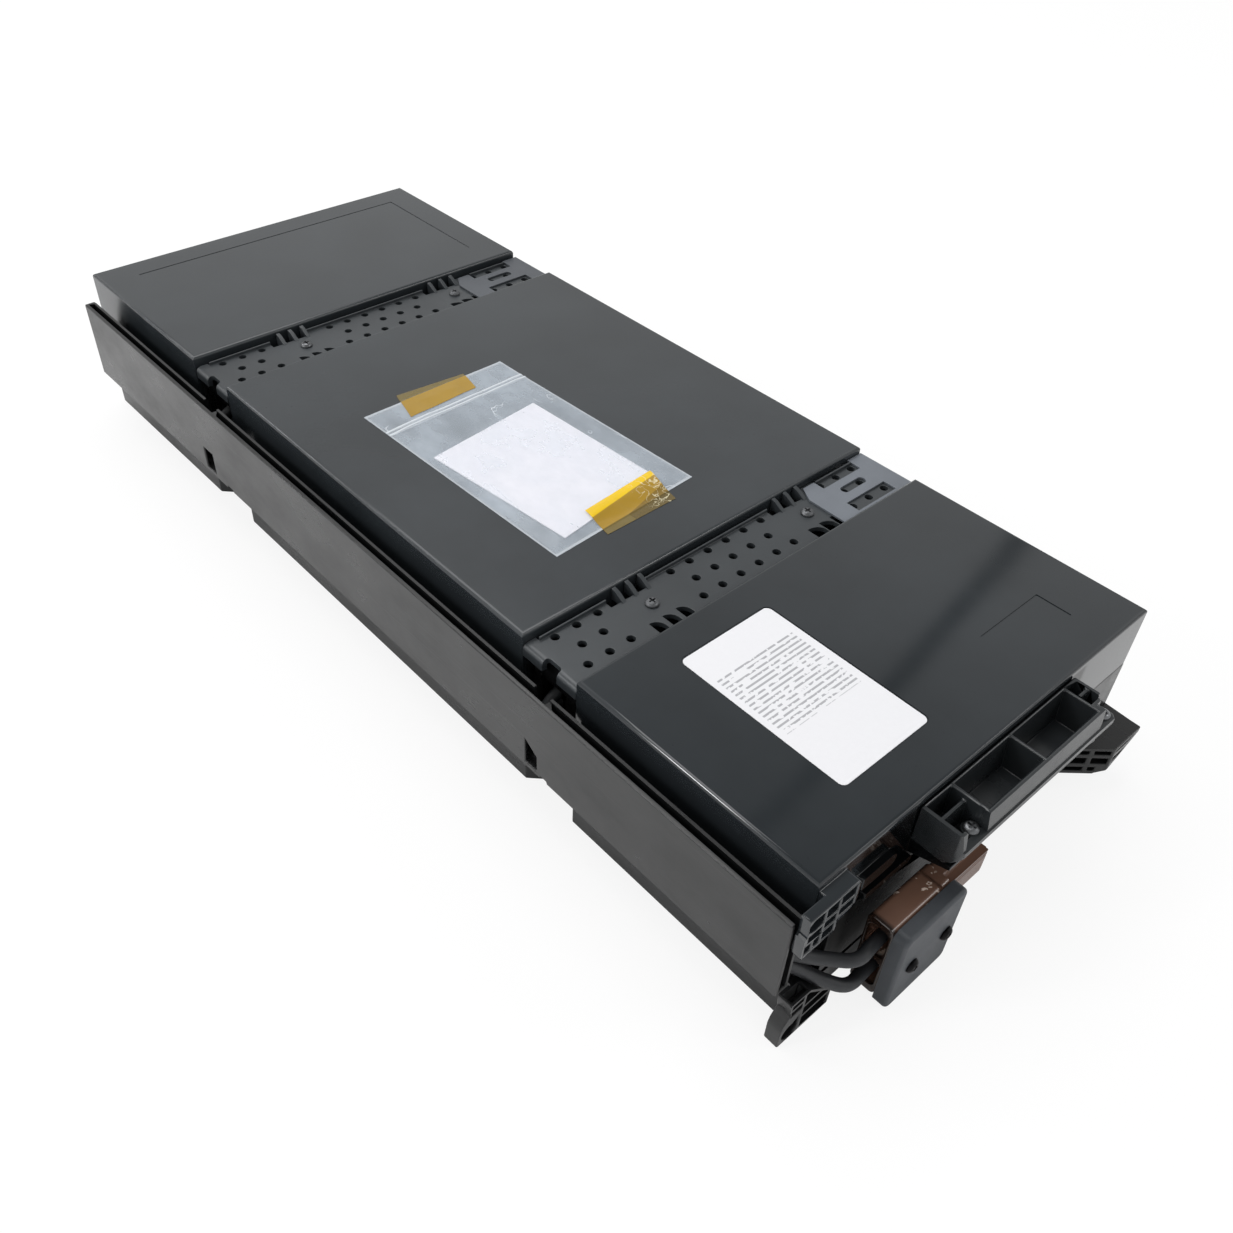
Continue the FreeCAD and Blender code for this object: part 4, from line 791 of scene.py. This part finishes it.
class CARTRIDGE_OT_label(CartridgeStep, bpy.types.Operator):
    """Label in the front lid's recess, with plain grey rules and no words."""
    bl_idname = "cartridge.label"
    bl_label = "Label"

    def make(self, colours, sizes):
        mat = Finish("label stock", colours.paper, 0.38)
        fibre = mat.noise(700, 5, roughness=0.7)
        (x0, y0, _), (x1, y1, _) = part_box("rating_label")
        left, right = (x0 + share * (x1 - x0) for share in PRINT_ACROSS)
        low, high = (y0 + share * (y1 - y0) for share in PRINT_ALONG)
        rows = mat.inside([(left, low), (right, low), (right, high), (left, high)])
        line = mat.math("FRACT", mat.times(mat.axes()[1], 1 / RULE_PITCH))
        line = mat.band(mat.away(line, 0.5), 0.24, 0.16)
        dashes = mat.band(mat.noise(420, 2, stretch=(1, 1.2, 1)), 0.42, 0.46)
        ink = mat.times(line, dashes, rows, 0.6)
        stock = mat.mix(fibre, scaled(colours.paper, 0.94), colours.paper)
        mat.paint(mat.mix(ink, stock, PRINT_INK))
        mat.bump(fibre, 0.08, 0.00008)
        mat.bump(mat.noise(40, 2), 0.08, 0.0006)
        dressed("rating_label", mat.material, 0.00006)


class CARTRIDGE_OT_leaflet(CartridgeStep, bpy.types.Operator):
    """Folded leaflet inside the pouch."""
    bl_idname = "cartridge.leaflet"
    bl_label = "Leaflet"

    def make(self, colours, sizes):
        def top(spot):
            bow = 0.00012 * noise.noise(Vector((spot.x * 50, spot.y * 35, 2.0)))
            return LID_TOP + LEAFLET_TOP + bow

        bm = sheet_grid(LEAFLET, 40, 50, top)
        thickened(bm, lambda co: co.z - LEAFLET_THICKNESS)
        mat = Finish("leaflet paper", colours.leaflet, 0.8)
        fibre = mat.noise(900, 4, roughness=0.7)
        mat.paint(mat.mix(fibre, scaled(colours.leaflet, 0.93), colours.leaflet))
        mat.bump(fibre, 0.1, 0.0001)
        piece = finished("leaflet_piece", bm, mat.material)
        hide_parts("leaflet")


class CARTRIDGE_OT_pouch(CartridgeStep, bpy.types.Operator):
    """Clear zip pouch with a film front and back."""
    bl_idname = "cartridge.pouch"
    bl_label = "Pouch"

    def make(self, colours, sizes):
        high, wrinkle = sizes.pouch_height, sizes.wrinkle
        bm = sheet_grid(POUCH, 110, 150, lambda spot: LID_TOP + pouch_height(spot, high, wrinkle))
        thickened(bm, lambda co: LID_TOP + POUCH_BACK)
        mat = Finish("pouch film", colours.film, 0.22, **{"Specular IOR Level": 0.6})
        haze = mat.noise(60, 4, stretch=(1, 0.6, 1), roughness=0.6)
        x, y, _ = mat.axes()
        # Painted highlights: the film is painted pale along the zip's two ridges, the welded seam and its
        # creases, where glints catch the light.
        off = mat.away(mat.math("ADD", y, mat.times(x, -ZIP_SLOPE)), ZIP_PLACE + 0.0003)
        ridge_highlights = mat.times(mat.band(off, 0.0024, 0.0016), mat.band(off, 0.0002, 0.0010), 0.7)
        seam = mat.band(mat.inside(shrunk(POUCH, SEAM_INSET), 0.0006), 0, 1, 0.5, 0)
        crease_glint = mat.times(mat.lines(70, 0.008, 0.001, stretch=(1, 0.6, 1)),
                           mat.band(mat.noise(45, 1), 0.56, 0.68), mat.band(mat.inside(LEAFLET), 1, 0), 0.8)
        painted_glints = mat.math("MAXIMUM", mat.math("MAXIMUM", ridge_highlights, seam), crease_glint)
        body = mat.mix(haze, scaled(colours.film, 0.95), scaled(colours.film, 1.2))
        mat.paint(mat.mix(painted_glints, body, FILM_GLINT))
        mat.set(Alpha=mat.math("MAXIMUM", mat.band(haze, 0.3, 0.7, 0.27, 0.42), painted_glints))
        mat.bump(mat.noise(420, 3, stretch=(1, 0.35, 1)), 0.25, 0.0002)
        piece = finished("clear_bag_piece", bm, mat.material, smooth=70)
        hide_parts("clear_bag")


class CARTRIDGE_OT_tapes(CartridgeStep, bpy.types.Operator):
    """Two strips of amber tape that hold the pouch down."""
    bl_idname = "cartridge.tapes"
    bl_label = "Tapes"

    def make(self, colours, sizes):
        mat = Finish("amber tape", colours.tape, 0.16, **{"Specular IOR Level": 0.6})
        # Painted shade: the tape is painted darker over the pouch and darkest over the lid, for the darker
        # backing that shows through it; over the leaflet it keeps its picked colour.
        shade = mat.mix(mat.inside(POUCH), TAPE_SHADED_ON_LID, TAPE_SHADED_ON_POUCH)
        shade = mat.mix(mat.inside(LEAFLET), shade, colours.tape)
        x, y, _ = mat.axes()
        # Painted glints: pale wandering lines at the front tape's free right end stand for light catching its
        # wrinkles.
        crease_glint = mat.times(mat.lines(190, 0.016, 0.004, distortion=0.6), mat.band(x, -0.003, 0.003),
                           mat.band(y, 0.0, -0.01), 0.75)
        fold = mat.times(mat.inside(TAPE_FOLD), 0.55)
        mat.paint(mat.mix(crease_glint, mat.mix(fold, shade, TAPE_FOLDED), TAPE_GLINT))
        mat.set(Alpha=mat.band(mat.noise(90, 3), 0.3, 0.7, 0.74, 0.86))
        mat.bump(mat.noise(300, 3, stretch=(1, 0.3, 1)), 0.3, 0.0002)
        mat.bump(mat.noise(90, 3), 0.5, 0.0008)
        for name, loop in TAPES.items():
            def top(spot):
                lift = 0.00004
                rim = edge_distance(POUCH, spot)
                if rim > -0.001:
                    lift = max(lift, pouch_height(spot, sizes.pouch_height, sizes.wrinkle)
                               * smooth_step((rim + 0.001) / 0.001))
                return LID_TOP + min(lift + 0.00014, sizes.pouch_height + 0.0002)

            bm = sheet_grid(loop, 60, 40, top)
            thickened(bm, lambda co: co.z - TAPE_THICKNESS)
            piece = finished(name + "_piece", bm, mat.material, smooth=70)
            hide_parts(name)


# ---- panel and running ----
STEPS = ("stage", "plug", "plug_holder", "screws", "leads", "tray", "lids", "terminal_covers", "brackets",
         "handle", "blocks", "foam", "harness", "label", "leaflet", "pouch", "tapes")


class CARTRIDGE_PT_panel(bpy.types.Panel):
    """Lists the cartridge's steps and settings."""
    bl_idname = "CARTRIDGE_PT_panel"
    bl_label = "Battery cartridge"
    bl_space_type = "VIEW_3D"
    bl_region_type = "UI"
    bl_category = "Cartridge"

    def draw(self, context):
        for step in STEPS:
            self.layout.operator("cartridge." + step)
        for group in (context.scene.cartridge.sizes, context.scene.cartridge.colours):
            for name in group.__annotations__:
                self.layout.prop(group, name)


CLASSES = (CartridgeColours, CartridgeSizes, CartridgeSettings, CARTRIDGE_OT_stage, CARTRIDGE_OT_leads,
           CARTRIDGE_OT_plug, CARTRIDGE_OT_plug_holder, CARTRIDGE_OT_screws, CARTRIDGE_OT_tray,
           CARTRIDGE_OT_lids, CARTRIDGE_OT_terminal_covers, CARTRIDGE_OT_brackets, CARTRIDGE_OT_handle,
           CARTRIDGE_OT_blocks, CARTRIDGE_OT_foam, CARTRIDGE_OT_harness, CARTRIDGE_OT_label,
           CARTRIDGE_OT_leaflet, CARTRIDGE_OT_pouch, CARTRIDGE_OT_tapes, CARTRIDGE_PT_panel)


def register():
    for cls in CLASSES:
        bpy.utils.register_class(cls)
    bpy.types.Scene.cartridge = PointerProperty(type=CartridgeSettings)


def unregister():
    del bpy.types.Scene.cartridge
    for cls in reversed(CLASSES):
        bpy.utils.unregister_class(cls)


def main():
    register()
    for step in STEPS:
        getattr(bpy.ops.cartridge, step)()


if __name__ == "__main__":
    main()
